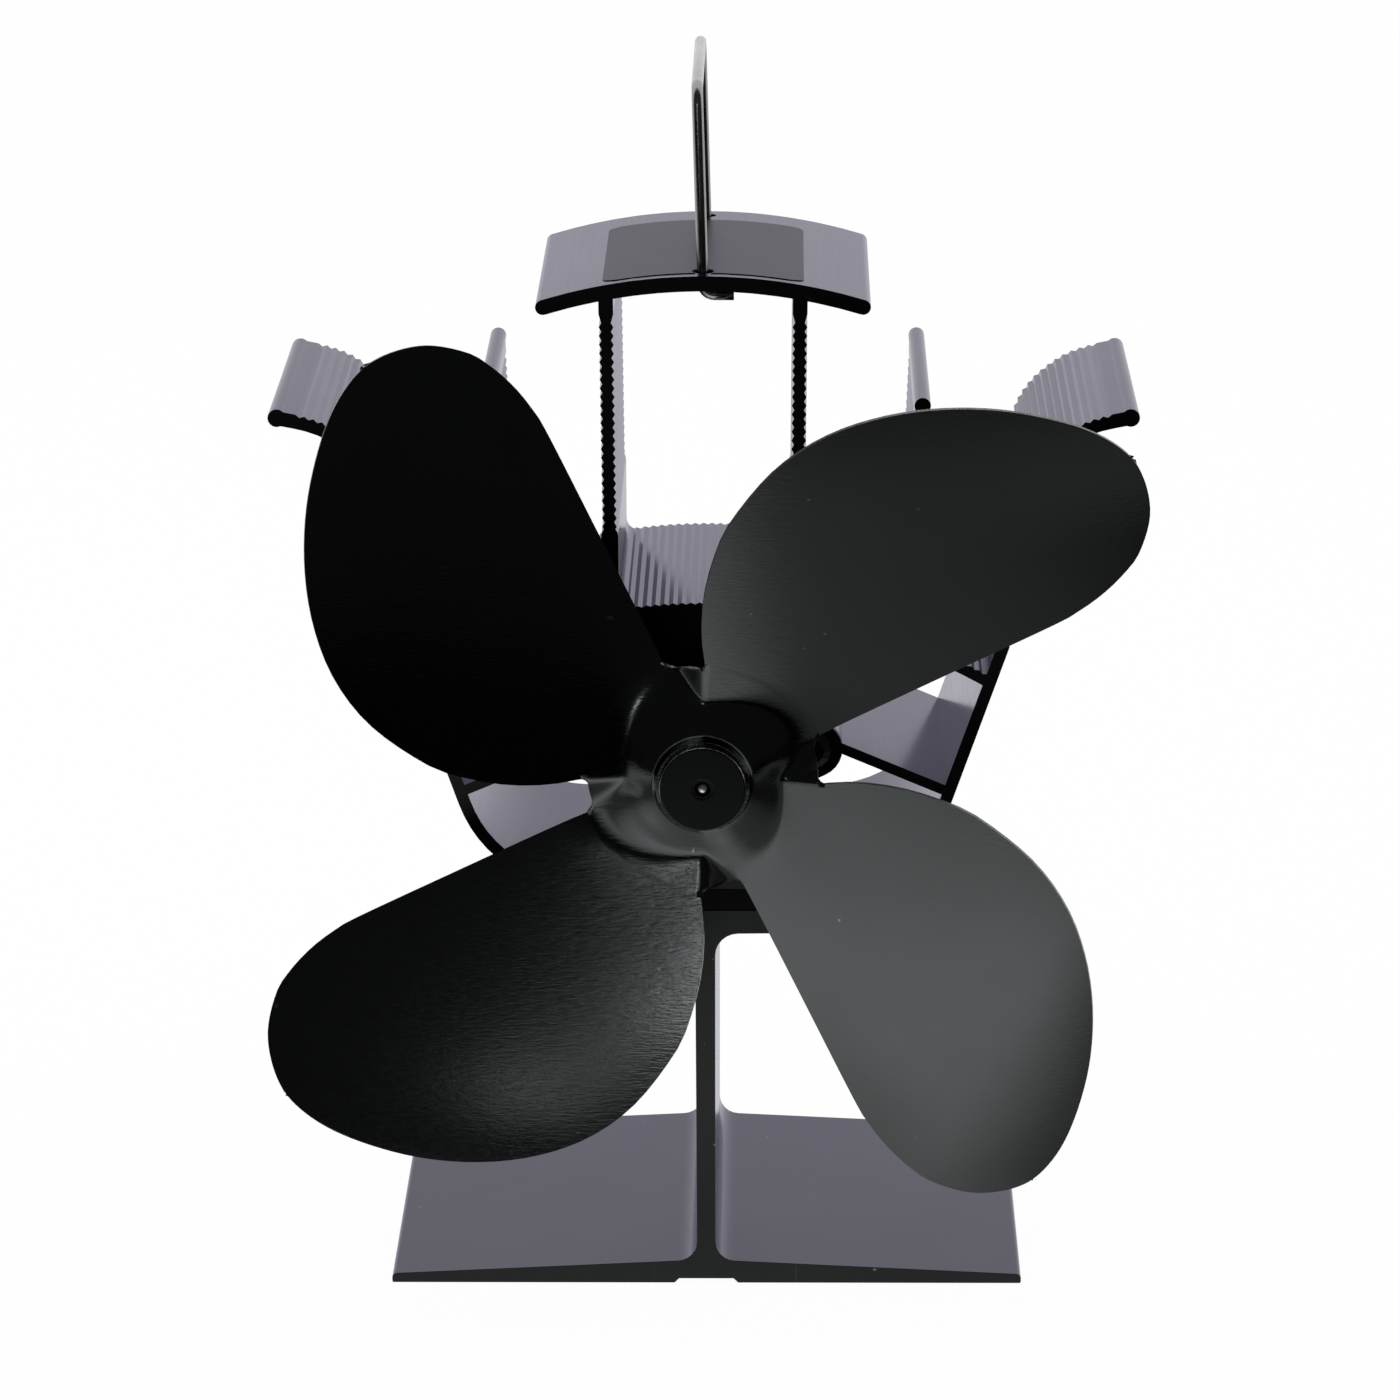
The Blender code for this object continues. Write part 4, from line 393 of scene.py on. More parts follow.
def axis_radius(finish):
    """Distance from the fan's own axis."""
    spot = finish.split("ShaderNodeTexCoord", "Object")
    across = finish.output(spot, "X")
    height = finish.output(spot, "Z") - axis_height()
    return (across * across + height * height) ** 0.5


def lathe_rings(finish, radius, scale):
    """Noise that changes only outward from the axis."""
    return finish.value("ShaderNodeTexNoise", {"noise_dimensions": "1D"}, {
        "W": radius * scale, "Scale": 1.0, "Detail": 1.0})


def nose_finish(colours):
    """Black turned nose: faint rings, and bare-metal colour in a thin band round its outer edge, broken up by
    noise, which is a painted highlight for the bright ring on that edge.
    """
    finish = new_finish("Turned black nose", Metallic=1.0)
    radius = axis_radius(finish)
    rim = (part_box("nose_sleeve")[1][0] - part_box("nose_sleeve")[0][0]) / 2.0
    rings = lathe_rings(finish, radius, 5000.0)
    # Painted highlight: bare-metal colour in a thin band at the nose's outer edge, patchy with noise
    rim_glint_breakup = finish.noise(900.0, detail=2.0)
    nose_rim_glint = finish.spread(radius, rim - 0.00018, rim - 0.00008) * finish.spread(rim_glint_breakup, 0.30, 0.55, 0.25, 1.0)
    colour = finish.blend(nose_rim_glint, colours.nose, colours.bare_edge)
    return shade(finish, Base_Color=colour, Roughness=0.24 + 0.08 * rings,
                 Normal=finish.bump(rings, 0.10, 0.00002))


def turned_finish(name, colour, rough):
    """Lathe-turned metal with faint rings round the fan's axis."""
    finish = new_finish(name, Metallic=1.0)
    rings = lathe_rings(finish, axis_radius(finish), 6000.0)
    cloud = finish.noise(300.0, detail=2.0)
    tint = finish.blend(finish.spread(cloud, 0.35, 0.65), colour, scaled(colour, 0.82))
    return shade(finish, Base_Color=tint, Roughness=rough + 0.08 * rings,
                 Normal=finish.bump(rings, 0.15, 0.00003))


def steel_finish(name, colour, rough, stretch=(1.0, 1.0, 1.0), relief=0.10):
    """Bright steel with drawn lines and a little unevenness."""
    finish = new_finish(name, Metallic=1.0)
    lines = finish.noise(2600.0, stretch, 2.0, 0.5)
    cloud = finish.noise(140.0, detail=3.0)
    tint = finish.blend(finish.spread(cloud, 0.35, 0.65), colour, scaled(colour, 0.80))
    return shade(finish, Base_Color=tint, Roughness=rough + 0.10 * finish.spread(lines, 0.3, 0.7),
                 Normal=finish.bump(lines, relief, 0.00002))


def dull_finish(name, colour, rough, grain, metallic=0.0, gloss=0.5):
    """Plastic, board, ferrite or sleeve: an even colour with a fine grain."""
    finish = new_finish(name, Metallic=metallic, Specular_IOR_Level=gloss)
    fine = finish.noise(grain, detail=4.0, roughness=0.6)
    cloud = finish.noise(grain / 12.0, detail=2.0)
    tint = finish.blend(finish.spread(cloud, 0.3, 0.7), scaled(colour, 0.85), scaled(colour, 1.12))
    return shade(finish, Base_Color=tint, Roughness=rough + 0.1 * finish.spread(fine, 0.3, 0.7),
                 Normal=finish.bump(fine, 0.3, 0.00004))


def label_finish(colours):
    """Bare film: satin, with a faint unevenness from the glue under it."""
    finish = new_finish("Bare label film", Metallic=1.0, Specular_Tint=(0.93, 0.92, 1.0))
    cloud = finish.noise(170.0, detail=3.0)
    fine = finish.noise(2600.0, detail=2.0)
    tint = finish.blend(finish.spread(cloud, 0.35, 0.65), colours.label, scaled(colours.label, 1.25))
    return shade(finish, Base_Color=tint, Roughness=0.38 + 0.06 * fine,
                 Normal=finish.bump(cloud + fine * 0.3, 0.12, 0.00006))


def make_finishes(colours):
    """Every finish by its plain name."""
    return {
        "foot extrusion": extrusion_finish("Anodised foot", colours, colours.foot_cut),
        "sink extrusion": extrusion_finish("Anodised heat sink", colours, colours.sink_cut),
        "blade sheet": blade_finish(colours),
        "blanked rim": edge_finish(colours),
        "nose": nose_finish(colours),
        "clamp plate black": turned_finish("Black clamp plate", (0.020, 0.020, 0.021), 0.34),
        "wire": steel_finish("Stainless wire", colours.wire, 0.14, (1.0, 1.0, 0.06), 0.03),
        "label": label_finish(colours),
        "graphite foil": dull_finish("Graphite foil", (0.030, 0.030, 0.032), 0.45, 900.0, 0.4),
        "module ceramic": dull_finish("Ground alumina", (0.80, 0.80, 0.78), 0.50, 1600.0),
        "module filling": dull_finish("Module filling", (0.20, 0.20, 0.21), 0.55, 900.0),
        "insulating board": dull_finish("Insulating board", (0.005, 0.005, 0.005), 0.72, 1200.0, gloss=0.08),
        "spring steel": steel_finish("Spring steel", (0.34, 0.34, 0.35), 0.30),
        "screw steel": steel_finish("Screw steel", (0.46, 0.46, 0.46), 0.24),
        "bimetal": steel_finish("Rolled bimetal", (0.42, 0.36, 0.29), 0.32, (1.0, 0.03, 1.0)),
        "zinc plate": turned_finish("Zinc plate", (0.44, 0.45, 0.45), 0.30),
        "bronze": turned_finish("Sintered bronze", (0.44, 0.27, 0.13), 0.42),
        "ferrite": dull_finish("Ferrite", (0.050, 0.050, 0.052), 0.62, 1500.0, 0.2),
        "moulded plastic": dull_finish("Moulded plastic", (0.014, 0.014, 0.014), 0.45, 1100.0),
        "brass": steel_finish("Brass", (0.62, 0.45, 0.18), 0.26),
        "lamination steel": steel_finish("Lamination steel", (0.30, 0.30, 0.31), 0.38, (1.0, 8.0, 1.0)),
        "shaft steel": steel_finish("Ground shaft steel", (0.70, 0.70, 0.70), 0.28),
        "red sleeve": dull_finish("Red sleeve", (0.42, 0.018, 0.016), 0.42, 700.0),
        "black sleeve": dull_finish("Black sleeve", (0.013, 0.013, 0.013), 0.42, 700.0),
    }


FINISHES = {}


def finish_named(name):
    """The material of this plain name; all are made at the first call."""
    if not FINISHES:
        FINISHES.update(make_finishes(bpy.context.scene.stove_fan_colours))
    return FINISHES[name]


def axis_height():
    """Height of the fan's axis."""
    low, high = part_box("motor_can")
    return ((Vector(low) + Vector(high)) / 2.0).z


def add_piece(name, mesh, body, finish, slot, *nodes):
    """A visible piece on a body, with its finish, and the solids that it stands for."""
    piece = bpy.data.objects.new(name, mesh)
    bpy.context.scene.collection.objects.link(piece)
    mesh.materials.append(finish_named(finish))
    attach(piece, body)
    if nodes:
        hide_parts(*nodes)
    return piece


def settle(piece):
    """Applies a piece's modifiers."""
    bpy.context.view_layer.update()
    depsgraph = bpy.context.evaluated_depsgraph_get()
    mesh = bpy.data.meshes.new_from_object(piece.evaluated_get(depsgraph))
    piece.modifiers.clear()
    piece.data = mesh


def round_edges(piece, width, degrees):
    """Rounds the edges sharper than this, and keeps the flat faces' shading flat."""
    rounded = piece.modifiers.new("Rounded edges", "BEVEL")
    rounded.width = width
    rounded.segments = 2
    rounded.limit_method = "ANGLE"
    rounded.angle_limit = math.radians(degrees)
    flats = piece.modifiers.new("Flat faces stay flat", "WEIGHTED_NORMAL")
    flats.mode = "FACE_AREA"
    flats.weight = 50


def add_film(piece, thickness):
    """Gives a piece's faces a thickness behind them."""
    film = piece.modifiers.new("Film", "SOLIDIFY")
    film.thickness = thickness
    film.offset = -1.0
    return film


def smooth(mesh, degrees):
    """Smooth shading, with edges sharper than this left sharp."""
    mesh.shade_smooth()
    mesh.set_sharp_from_angle(angle=math.radians(degrees))


def solid_shape(node):
    """A solid's shape with its doubled points joined."""
    shape = bmesh.new()
    shape.from_mesh(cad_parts[node].data)
    bmesh.ops.remove_doubles(shape, verts=shape.verts, dist=MERGE_DISTANCE)
    return shape


def mesh_of(shape, name):
    """A mesh from a shape, which is freed."""
    mesh = bpy.data.meshes.new(name)
    shape.to_mesh(mesh)
    shape.free()
    return mesh


def eased_copy(node, name, body, finish, slot, edge):
    """A copy of a solid with its flat faces joined and its sharp edges eased."""
    shape = solid_shape(node)
    bmesh.ops.dissolve_limit(
        shape, angle_limit=math.radians(FLAT_ANGLE), verts=shape.verts, edges=shape.edges)
    mesh = mesh_of(shape, name)
    mesh.shade_smooth()
    piece = add_piece(name, mesh, body, finish, slot, node)
    round_edges(piece, edge, EASED_ANGLE)
    settle(piece)


def smooth_line(points, spans):
    """A Catmull-Rom line through the points, ends included."""
    points = [Vector(point) for point in points]
    padded = [2.0 * points[0] - points[1]] + points + [2.0 * points[-1] - points[-2]]
    line = []
    for index in range(len(points) - 1):
        a, b, c, d = padded[index:index + 4]
        for step in range(spans):
            t = step / spans
            line.append(0.5 * (2.0 * b + (c - a) * t + (2.0 * a - 5.0 * b + 4.0 * c - d) * t ** 2
                               + (3.0 * b - a - 3.0 * c + d) * t ** 3))
    line.append(points[-1])
    return line


def blade_edges(sizes):
    """The blade's straight and bulging edges, as points from the hub's skirt out to the tip."""
    shares = STRAIGHT_SHARES[::-1] + BULGE_SHARES[::-1][1:]
    outline = smooth_line([(x * sizes.blade_reach, y * sizes.blade_reach) for x, y in shares], OUTLINE_SPANS)
    tip = max(range(len(outline)), key=lambda index: outline[index].length)
    edges = []
    for edge in (outline[:tip + 1], outline[tip:][::-1]):
        outer = next(index for index, point in enumerate(edge) if point.length > sizes.hub_skirt)
        near, far = edge[outer - 1], edge[outer]
        share = (sizes.hub_skirt - near.length) / (far.length - near.length)
        edges.append([near.lerp(far, share)] + edge[outer:])
    return edges


def track_length(track):
    """Length of a line of points."""
    return sum((second - first).length for first, second in zip(track, track[1:]))


def along(track, distance):
    """The point at this distance along a line of points."""
    for first, second in zip(track, track[1:]):
        step = (second - first).length
        if distance <= step:
            return first.lerp(second, distance / step)
        distance -= step
    return track[-1].copy()


def eased(value):
    """Value held between 0 and 1, with a soft start and end."""
    value = min(1.0, max(0.0, value))
    return value * value * (3.0 - 2.0 * value)


class BladeSheet:
    """The pressed sheet's front surface: a coned hub, creased where it meets four pitched blades."""

    BLADE_COLUMNS, GAP_COLUMNS, CORNER_STEPS, ROWS = 30, 8, 4, 50
    LAND_RINGS, STEP_RINGS, CONE_RINGS = 2, 5, 22
    ROW_CROWDING = 1.5      # above 1, a blade's rows lie closer together toward its tip

    def __init__(self, sizes):
        self.sizes = sizes
        self.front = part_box("heat_sink")[0][1]
        self.land = self.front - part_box("nose_sleeve")[0][1] - NOSE_FLANGE
        self.straight, self.bulge = blade_edges(sizes)
        self.width = sizes.blade_reach * (max(y for x, y in BULGE_SHARES) - STRAIGHT_SHARES[-1][1])
        self.low, self.high = (math.atan2(edge[0].y, edge[0].x) for edge in (self.straight, self.bulge))
        self.shape = bmesh.new()

    def blade_forward(self, radius, angle, share, width):
        """A blade's pitched and slightly hollow face, as a distance in front of the heat sink."""
        sizes = self.sizes
        across = radius * math.sin(angle) - STRAIGHT_SHARES[-1][1] * sizes.blade_reach
        camber = sizes.blade_camber * 4.0 * share * (1.0 - share) * (width / self.width) ** 2
        return sizes.blade_offset + sizes.blade_pitch * across + camber

    def sheet_forward(self, radius, pitched, softer):
        """The cone where it stands in front of the pitched sheet, else the sheet, with a soft crease."""
        sizes = self.sizes
        outward = max(0.0, radius - sizes.hub_land)
        step = sizes.hub_drop * eased(outward / (sizes.hub_cone - sizes.hub_land))
        cone = self.land - step - sizes.hub_slope * outward
        blend = (sizes.hub_blend - 1.0) * softer * eased(outward / (sizes.hub_land - HOLE_RADIUS))
        return (cone + pitched + math.hypot(cone - pitched, sizes.hub_crease * (1.0 + blend))) / 2.0

    def place(self, radius, angle, forward, blade):
        """A new point, from its place about the axis and its distance in front of the heat sink."""
        turn = angle + self.sizes.blade_line + blade * BLADE_TURN
        return self.shape.verts.new((
            radius * math.cos(turn), self.front - forward, axis_height() + radius * math.sin(turn)))

    def gap_shares(self):
        """Shares of the way across a gap, close together in its rounded corners."""
        span = (self.low + BLADE_TURN - self.high) * self.sizes.hub_skirt
        corner = [self.sizes.gap_round * step / self.CORNER_STEPS / span
                  for step in range(self.CORNER_STEPS + 1)]
        between = [corner[-1] + (1.0 - 2.0 * corner[-1]) * step / self.GAP_COLUMNS
                   for step in range(1, self.GAP_COLUMNS)]
        return corner + between + [1.0 - share for share in reversed(corner)]

    def hub_ring(self, radius):
        """Points once round the hub: each blade's columns, then its gap's."""
        skirt, low, high = self.sizes.hub_skirt, self.low, self.high
        ring = []
        for blade in range(BLADES):
            for column in range(self.BLADE_COLUMNS):
                share = column / self.BLADE_COLUMNS
                angle = low + (high - low) * share
                pitched = self.blade_forward(radius, angle, share, radius * (high - low))
                forward = self.sheet_forward(radius, pitched, eased(1.0 - share))
                ring.append(self.place(radius, angle, forward, blade))
            front = self.blade_forward(radius, high, 1.0, 0.0)
            back = self.blade_forward(radius, low, 0.0, 0.0)
            for share in self.gap_shares()[:-1]:
                angle = high + (low + BLADE_TURN - high) * share
                pitched = front + (back - front) * eased(share)
                forward = self.sheet_forward(radius, pitched, eased(share))
                ring.append(self.place(radius, angle, forward, blade))
        return ring

    def fill_corner(self, corner, gap_side, blade_side):
        """The rounded corner between a gap's end and a blade's edge."""
        steps = self.CORNER_STEPS
        inner = [corner] * (steps + 1)
        for first, last in zip(gap_side, blade_side):
            outer = [first]
            for step in range(1, steps):
                t = step / steps
                weights = ((1.0 - t) ** 2, ARC_WEIGHT * t * (1.0 - t), t ** 2)
                spot = (weights[0] * first.co + weights[1] * corner.co + weights[2] * last.co) / sum(weights)
                spot.y = first.co.y + (last.co.y - first.co.y) * t
                outer.append(self.shape.verts.new(spot))
            outer.append(last)
            for step in range(steps):
                face = (inner[step], outer[step], outer[step + 1], inner[step + 1])
                self.shape.faces.new(face[:3] if inner[step] is inner[step + 1] else face)
            inner = outer

    def add_blade(self, blade, row):
        """Rows from the skirt to the tip; gives the first rows' ends for the rounded corners."""
        ends = []
        steps = self.CORNER_STEPS
        spans = [track_length(edge) for edge in (self.straight, self.bulge)]
        outs = []
        for ring in range(1, self.ROWS):
            if ring <= steps:
                step = self.sizes.gap_round * ring / steps
                outs.append([step / span for span in spans])
            else:
                rest = 1.0 - (1.0 - (ring - steps) / (self.ROWS - steps)) ** self.ROW_CROWDING
                outs.append([out + (1.0 - out) * rest for out in outs[steps - 1]])
        for out in outs:
            first = along(self.straight, spans[0] * out[0])
            last = along(self.bulge, spans[1] * out[1])
            angles = [math.atan2(point.y, point.x) for point in (first, last)]
            outer = []
            for column in range(self.BLADE_COLUMNS + 1):
                share = column / self.BLADE_COLUMNS
                radius = first.length + (last.length - first.length) * share
                angle = angles[0] + (angles[1] - angles[0]) * share
                pitched = self.blade_forward(radius, angle, share, (last - first).length)
                forward = self.sheet_forward(radius, pitched, eased(1.0 - share))
                outer.append(self.place(radius, angle, forward, blade))
            for column in range(self.BLADE_COLUMNS):
                self.shape.faces.new((row[column], outer[column], outer[column + 1], row[column + 1]))
            row = outer
            ends.append((row[0], row[-1]))
        point = self.straight[-1]
        angle = math.atan2(point.y, point.x)
        pitched = self.blade_forward(point.length, angle, 0.5, 0.0)
        tip = self.place(point.length, angle, self.sheet_forward(point.length, pitched, 0.5), blade)
        for column in range(self.BLADE_COLUMNS):
            self.shape.faces.new((row[column], tip, row[column + 1]))
        return ends[:steps]

    def mesh(self):
        """The whole sheet's front surface, facing forward."""
        sizes = self.sizes
        radii = []
        for count, start, end in ((self.LAND_RINGS, HOLE_RADIUS, sizes.hub_land),
                                  (self.STEP_RINGS, sizes.hub_land, sizes.hub_cone),
                                  (self.CONE_RINGS, sizes.hub_cone, sizes.hub_skirt)):
            radii += [start + (end - start) * step / count for step in range(count)]
        around = [self.hub_ring(radius) for radius in radii + [sizes.hub_skirt]]
        for inner, outer in zip(around, around[1:]):
            for index in range(len(inner)):
                after = (index + 1) % len(inner)
                self.shape.faces.new((inner[index], outer[index], outer[after], inner[after]))
        skirt, count = around[-1], len(around[-1]) // BLADES
        steps = self.CORNER_STEPS
        for blade in range(BLADES):
            start = blade * count
            row = skirt[start:start + self.BLADE_COLUMNS + 1]
            ends = self.add_blade(blade, row)
            before = [skirt[(start - step) % len(skirt)] for step in range(1, steps + 1)]
            after = [skirt[start + self.BLADE_COLUMNS + step] for step in range(1, steps + 1)]
            self.fill_corner(row[0], before, [pair[0] for pair in ends])
            self.fill_corner(row[-1], after, [pair[1] for pair in ends])
        bmesh.ops.recalc_face_normals(self.shape, faces=self.shape.faces)
        if sum(face.normal.y for face in self.shape.faces) > 0.0:
            bmesh.ops.reverse_faces(self.shape, faces=self.shape.faces)
        return mesh_of(self.shape, "pressed_blades")


class STOVEFAN_OT_extrusions(bpy.types.Operator):
    """Dress the foot and the finned heat sink"""

    bl_idname = "stove_fan.extrusions"
    bl_label = "Foot and heat sink"

    def execute(self, context):
        edge = context.scene.stove_fan_sizes.cut_edge
        eased_copy("base_foot", "foot_extrusion", "stand", "foot extrusion", "black_anodised", edge)
        eased_copy("heat_sink", "heat_sink_extrusion", "stand", "sink extrusion", "black_anodised", edge)
        return {"FINISHED"}


class STOVEFAN_OT_blades(bpy.types.Operator):
    """Dress the pressed blade wheel"""

    bl_idname = "stove_fan.blades"
    bl_label = "Blade wheel"

    def execute(self, context):
        sizes = context.scene.stove_fan_sizes
        mesh = BladeSheet(sizes).mesh()
        mesh.shade_smooth()
        piece = add_piece("pressed_blades", mesh, "rotor", "blade sheet", "blade_black", "blade_wheel")
        mesh.materials.append(finish_named("blanked rim"))
        add_film(piece, sizes.sheet_thickness).material_offset_rim = 1
        round_edges(piece, sizes.sheet_thickness * RIM_ROUND, RIM_ANGLE)
        settle(piece)
        return {"FINISHED"}


class STOVEFAN_OT_hub(bpy.types.Operator):
    """Dress the nose sleeve in front of the blades and the shaft in it"""

    bl_idname = "stove_fan.hub"
    bl_label = "Nose sleeve and shaft"

    def execute(self, context):
        eased_copy("nose_sleeve", "nose_turning", "rotor", "nose", "hub_black", NOSE_EDGE)
        eased_copy("motor_shaft", "shaft_turning", "rotor", "shaft steel", "steel", SHAFT_EDGE)
        return {"FINISHED"}


class STOVEFAN_OT_handle(bpy.types.Operator):
    """Dress the wire handle"""

    bl_idname = "stove_fan.handle"
    bl_label = "Wire handle"

    def execute(self, context):
        mesh = mesh_of(solid_shape("handle"), "handle_wire")
        add_piece("handle_wire", mesh, "carrying_handle", "wire", "steel", "handle")
        smooth(mesh, degrees=50.0)
        return {"FINISHED"}


class STOVEFAN_OT_label(bpy.types.Operator):
    """Lay the bare label on the cap"""

    bl_idname = "stove_fan.label"
    bl_label = "Bare label"

    def execute(self, context):
        sizes = context.scene.stove_fan_sizes
        low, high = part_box("heat_sink")
        cap_top, front = high[2], low[1]
        cap_radius, corner = sizes.cap_radius, LABEL_CORNER
        half = sizes.label_width / 2.0
        near = front + sizes.label_front
        far = near + sizes.label_depth
        columns, rows = LABEL_COLUMNS, LABEL_ROWS
        shape = bmesh.new()
        grid = []
        for row in range(rows + 1):
            y = near + (far - near) * row / rows
            inset = max(0.0, corner - min(y - near, far - y))
            trim = corner - math.sqrt(max(0.0, corner ** 2 - inset ** 2))
            line = []
            for column in range(columns + 1):
                x = (half - trim) * (2.0 * column / columns - 1.0)
                z = cap_top - cap_radius + math.sqrt(cap_radius ** 2 - x ** 2)
                line.append(shape.verts.new((x, y, z + LABEL_LIFT + sizes.label_thickness)))
            grid.append(line)
        for first, second in zip(grid, grid[1:]):
            for column in range(columns):
                shape.faces.new((first[column], first[column + 1], second[column + 1], second[column]))
        piece = add_piece("bare_label", mesh_of(shape, "bare_label"), "stand", "label", "insulation_black")
        add_film(piece, sizes.label_thickness)
        cutter = bmesh.new()
        slot_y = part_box("handle")[0][1] + sizes.wire_radius
        bmesh.ops.create_cone(cutter, cap_ends=True, segments=32, radius1=LABEL_HOLE, radius2=LABEL_HOLE,
                              depth=LABEL_DRILL)
        cutter.transform(Matrix.Translation((0.0, slot_y, cap_top)))
        drill = bpy.data.objects.new("label_hole", mesh_of(cutter, "label_hole"))
        context.scene.collection.objects.link(drill)
        cut = piece.modifiers.new("Handle hole", "BOOLEAN")
        cut.operation = "DIFFERENCE"
        cut.solver = "EXACT"
        cut.object = drill
        settle(piece)
        bpy.data.objects.remove(drill, do_unlink=True)
        smooth(piece.data, degrees=30.0)
        return {"FINISHED"}


class STOVEFAN_OT_small_parts(bpy.types.Operator):
    """Give every other piece its finish"""

    bl_idname = "stove_fan.small_parts"
    bl_label = "Motor, module and fastenings"

    def execute(self, context):
        for finish, nodes in FINISHED_NODES.items():
            for node in nodes:
                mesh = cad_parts[node].data
                mesh.materials.clear()
                mesh.materials.append(finish_named(finish))
        return {"FINISHED"}


class STOVEFAN_OT_stage(bpy.types.Operator):
    """Set the floor, the lamps, the background and the camera"""

    bl_idname = "stove_fan.stage"
    bl_label = "Stage"

    def execute(self, context):
        colours = context.scene.stove_fan_colours
        add_floor(colours)
        light_world()
        for lamp in LAMPS:
            add_lamp(*lamp)
        add_camera()
        context.scene.view_settings.view_transform = "Standard"
        return {"FINISHED"}


def add_floor(colours):
    """A pale floor that is white to the eye. In metal it shows painted light and shade: it is brightest a
    little way in front of the fan, with a painted shadow of the fan just in front of it on the left, and
    painted shade to the right, to the sides and far ahead.
    """
    shape = bmesh.new()
    shape.faces.new([shape.verts.new(place) for place in FLOOR_CORNERS])
    floor = bpy.data.objects.new("floor", mesh_of(shape, "floor"))
    bpy.context.scene.collection.objects.link(floor)
    finish = new_finish("Pale floor", Base_Color=tuple(colours.floor), Roughness=0.9, Specular_IOR_Level=0.0)
    camera, mirrored = camera_and_gloss(finish)
    spot = finish.split("ShaderNodeTexCoord", "Object")
    sideways, depth = finish.output(spot, "X"), finish.output(spot, "Y")
    front = finish.spread(depth, *FRONT)
    ahead = finish.spread(depth, *AHEAD)
    right = front * finish.spread(sideways, *RIGHT)
    sides = front * finish.spread(sideways * sideways, *SIDES) * finish.spread(depth, *SIDES_DEPTH)
    # Painted shadow of the fan on the floor, just in front of it on the left
    under = front * (1.0 - ahead) * finish.spread(sideways, *LEFT)
    # Painted light: brighter from a little way in front of the fan, fading to none far ahead
    lit = (1.0 - finish.spread(depth, *FAR_FRONT)) * (1.0 + AHEAD_GAIN * ahead)
    for loss, part in ((RIGHT_LOSS, right), (SIDES_LOSS, sides), (FAN_SHADOW_LOSS, under)):
        lit = lit * (1.0 - loss * part)
    seen = camera * FLOOR_SEEN + mirrored
    strength = camera + mirrored * lit
    white = finish.node("ShaderNodeEmission", None, {"Color": (1.0, 1.0, 1.0), "Strength": strength})
    mix = finish.node("ShaderNodeMixShader")
    finish.feed(mix.inputs[0], seen)
    finish.tree.links.new(finish.shader.outputs[0], mix.inputs[1])
    finish.tree.links.new(white.outputs[0], mix.inputs[2])
    output = finish.tree.nodes["Material Output"]
    finish.tree.links.new(mix.outputs[0], output.inputs["Surface"])
    floor.data.materials.append(finish.material)


def camera_and_gloss(finish):
    """Whether a ray comes straight from the camera, and whether it comes off gloss or through glass."""
    path = finish.node("ShaderNodeLightPath")
    camera, gloss, glass = (
        finish.output(path, kind) for kind in ("Is Camera Ray", "Is Glossy Ray", "Is Transmission Ray"))
    return camera, gloss + glass


def light_world():
    """White to the eye. Metal shows the studio's front side as dark."""
    world = bpy.data.worlds.new("Studio")
    bpy.context.scene.world = world
    world.use_nodes = True
    finish = Finish(world.node_tree)
    background = world.node_tree.nodes["Background"]
    camera, mirrored = camera_and_gloss(finish)
    depth = finish.output(finish.split("ShaderNodeTexCoord", "Generated"), "Y")
    gloss = 1.0 - FRONT_SIDE_LOSS * finish.spread(depth * -1.0, *FRONT_SIDE)
    strength = camera + mirrored * gloss + (1.0 - camera - mirrored) * STUDIO_FILL
    finish.feed(background.inputs["Color"], (1.0, 1.0, 1.0))
    finish.feed(background.inputs["Strength"], strength)


def add_lamp(name, place, size, power, mirrored):
    """A lamp aimed at the fan; mirrored says whether metal shows it."""
    light = bpy.data.lights.new(name, "AREA")
    light.shape = "RECTANGLE"
    light.size, light.size_y = size
    light.energy = power
    lamp = bpy.data.objects.new(name, light)
    lamp.location = place
    lamp.rotation_euler = (Vector(LAMP_TARGET) - Vector(place)).to_track_quat("-Z", "Y").to_euler()
    bpy.context.scene.collection.objects.link(lamp)
    lamp.visible_camera = False
    lamp.visible_glossy = mirrored


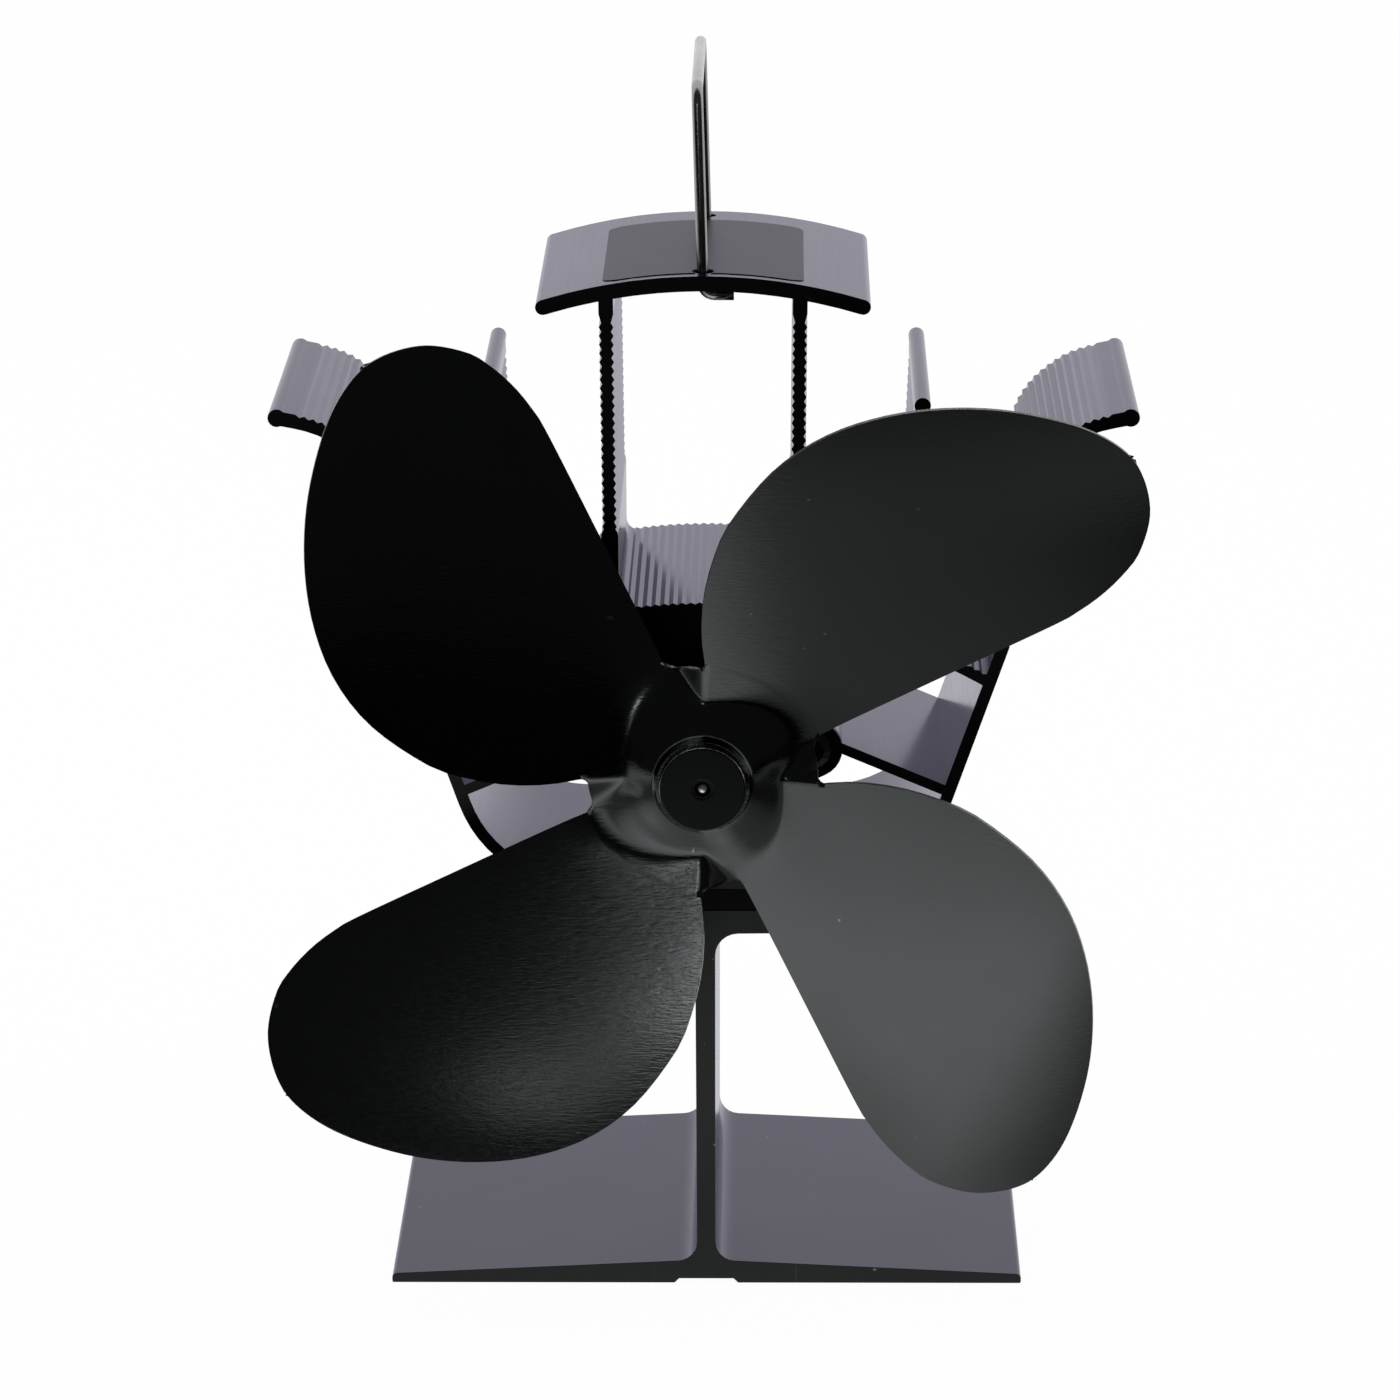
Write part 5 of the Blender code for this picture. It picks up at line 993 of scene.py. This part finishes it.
def add_camera():
    """The photograph's camera."""
    pitch, yaw, roll = (math.radians(turn) for turn in (CAMERA_PITCH, CAMERA_YAW, CAMERA_ROLL))
    forward = Vector((math.sin(yaw) * math.cos(pitch), math.cos(yaw) * math.cos(pitch), -math.sin(pitch)))
    level = Vector((math.cos(yaw), -math.sin(yaw), 0.0))
    down = forward.cross(level)
    right = math.cos(roll) * level + math.sin(roll) * down
    lower = -math.sin(roll) * level + math.cos(roll) * down
    data = bpy.data.cameras.new("Photograph")
    data.sensor_width = SENSOR_WIDTH
    data.lens = FOCAL_PIXELS * SENSOR_WIDTH / PHOTO_PIXELS
    data.clip_start = 0.01
    data.clip_end = 50.0
    camera = bpy.data.objects.new("Photograph", data)
    turn = Matrix((right, -lower, -forward)).transposed().to_4x4()
    camera.matrix_world = Matrix.Translation(CAMERA_PLACE) @ turn
    bpy.context.scene.collection.objects.link(camera)
    bpy.context.scene.camera = camera


OPERATORS = (
    STOVEFAN_OT_stage,
    STOVEFAN_OT_extrusions,
    STOVEFAN_OT_blades,
    STOVEFAN_OT_hub,
    STOVEFAN_OT_handle,
    STOVEFAN_OT_label,
    STOVEFAN_OT_small_parts,
)


class STOVEFAN_PT_panel(bpy.types.Panel):
    """Lists the fan's pieces, sizes and colours"""

    bl_idname = "STOVEFAN_PT_panel"
    bl_label = "Stove fan"
    bl_space_type = "VIEW_3D"
    bl_region_type = "UI"
    bl_category = "Stove fan"

    def draw(self, context):
        for operator in OPERATORS:
            self.layout.operator(operator.bl_idname)
        for group in (context.scene.stove_fan_sizes, context.scene.stove_fan_colours):
            for name in group.__annotations__:
                self.layout.prop(group, name)


CLASSES = (StoveFanSizes, StoveFanColours, *OPERATORS, STOVEFAN_PT_panel)


def register():
    for kind in CLASSES:
        bpy.utils.register_class(kind)
    bpy.types.Scene.stove_fan_sizes = PointerProperty(type=StoveFanSizes)
    bpy.types.Scene.stove_fan_colours = PointerProperty(type=StoveFanColours)


def unregister():
    del bpy.types.Scene.stove_fan_sizes
    del bpy.types.Scene.stove_fan_colours
    for kind in reversed(CLASSES):
        bpy.utils.unregister_class(kind)


def main():
    register()
    for operator in OPERATORS:
        getattr(bpy.ops.stove_fan, operator.bl_idname.split(".")[1])()


if __name__ == "__main__":
    main()
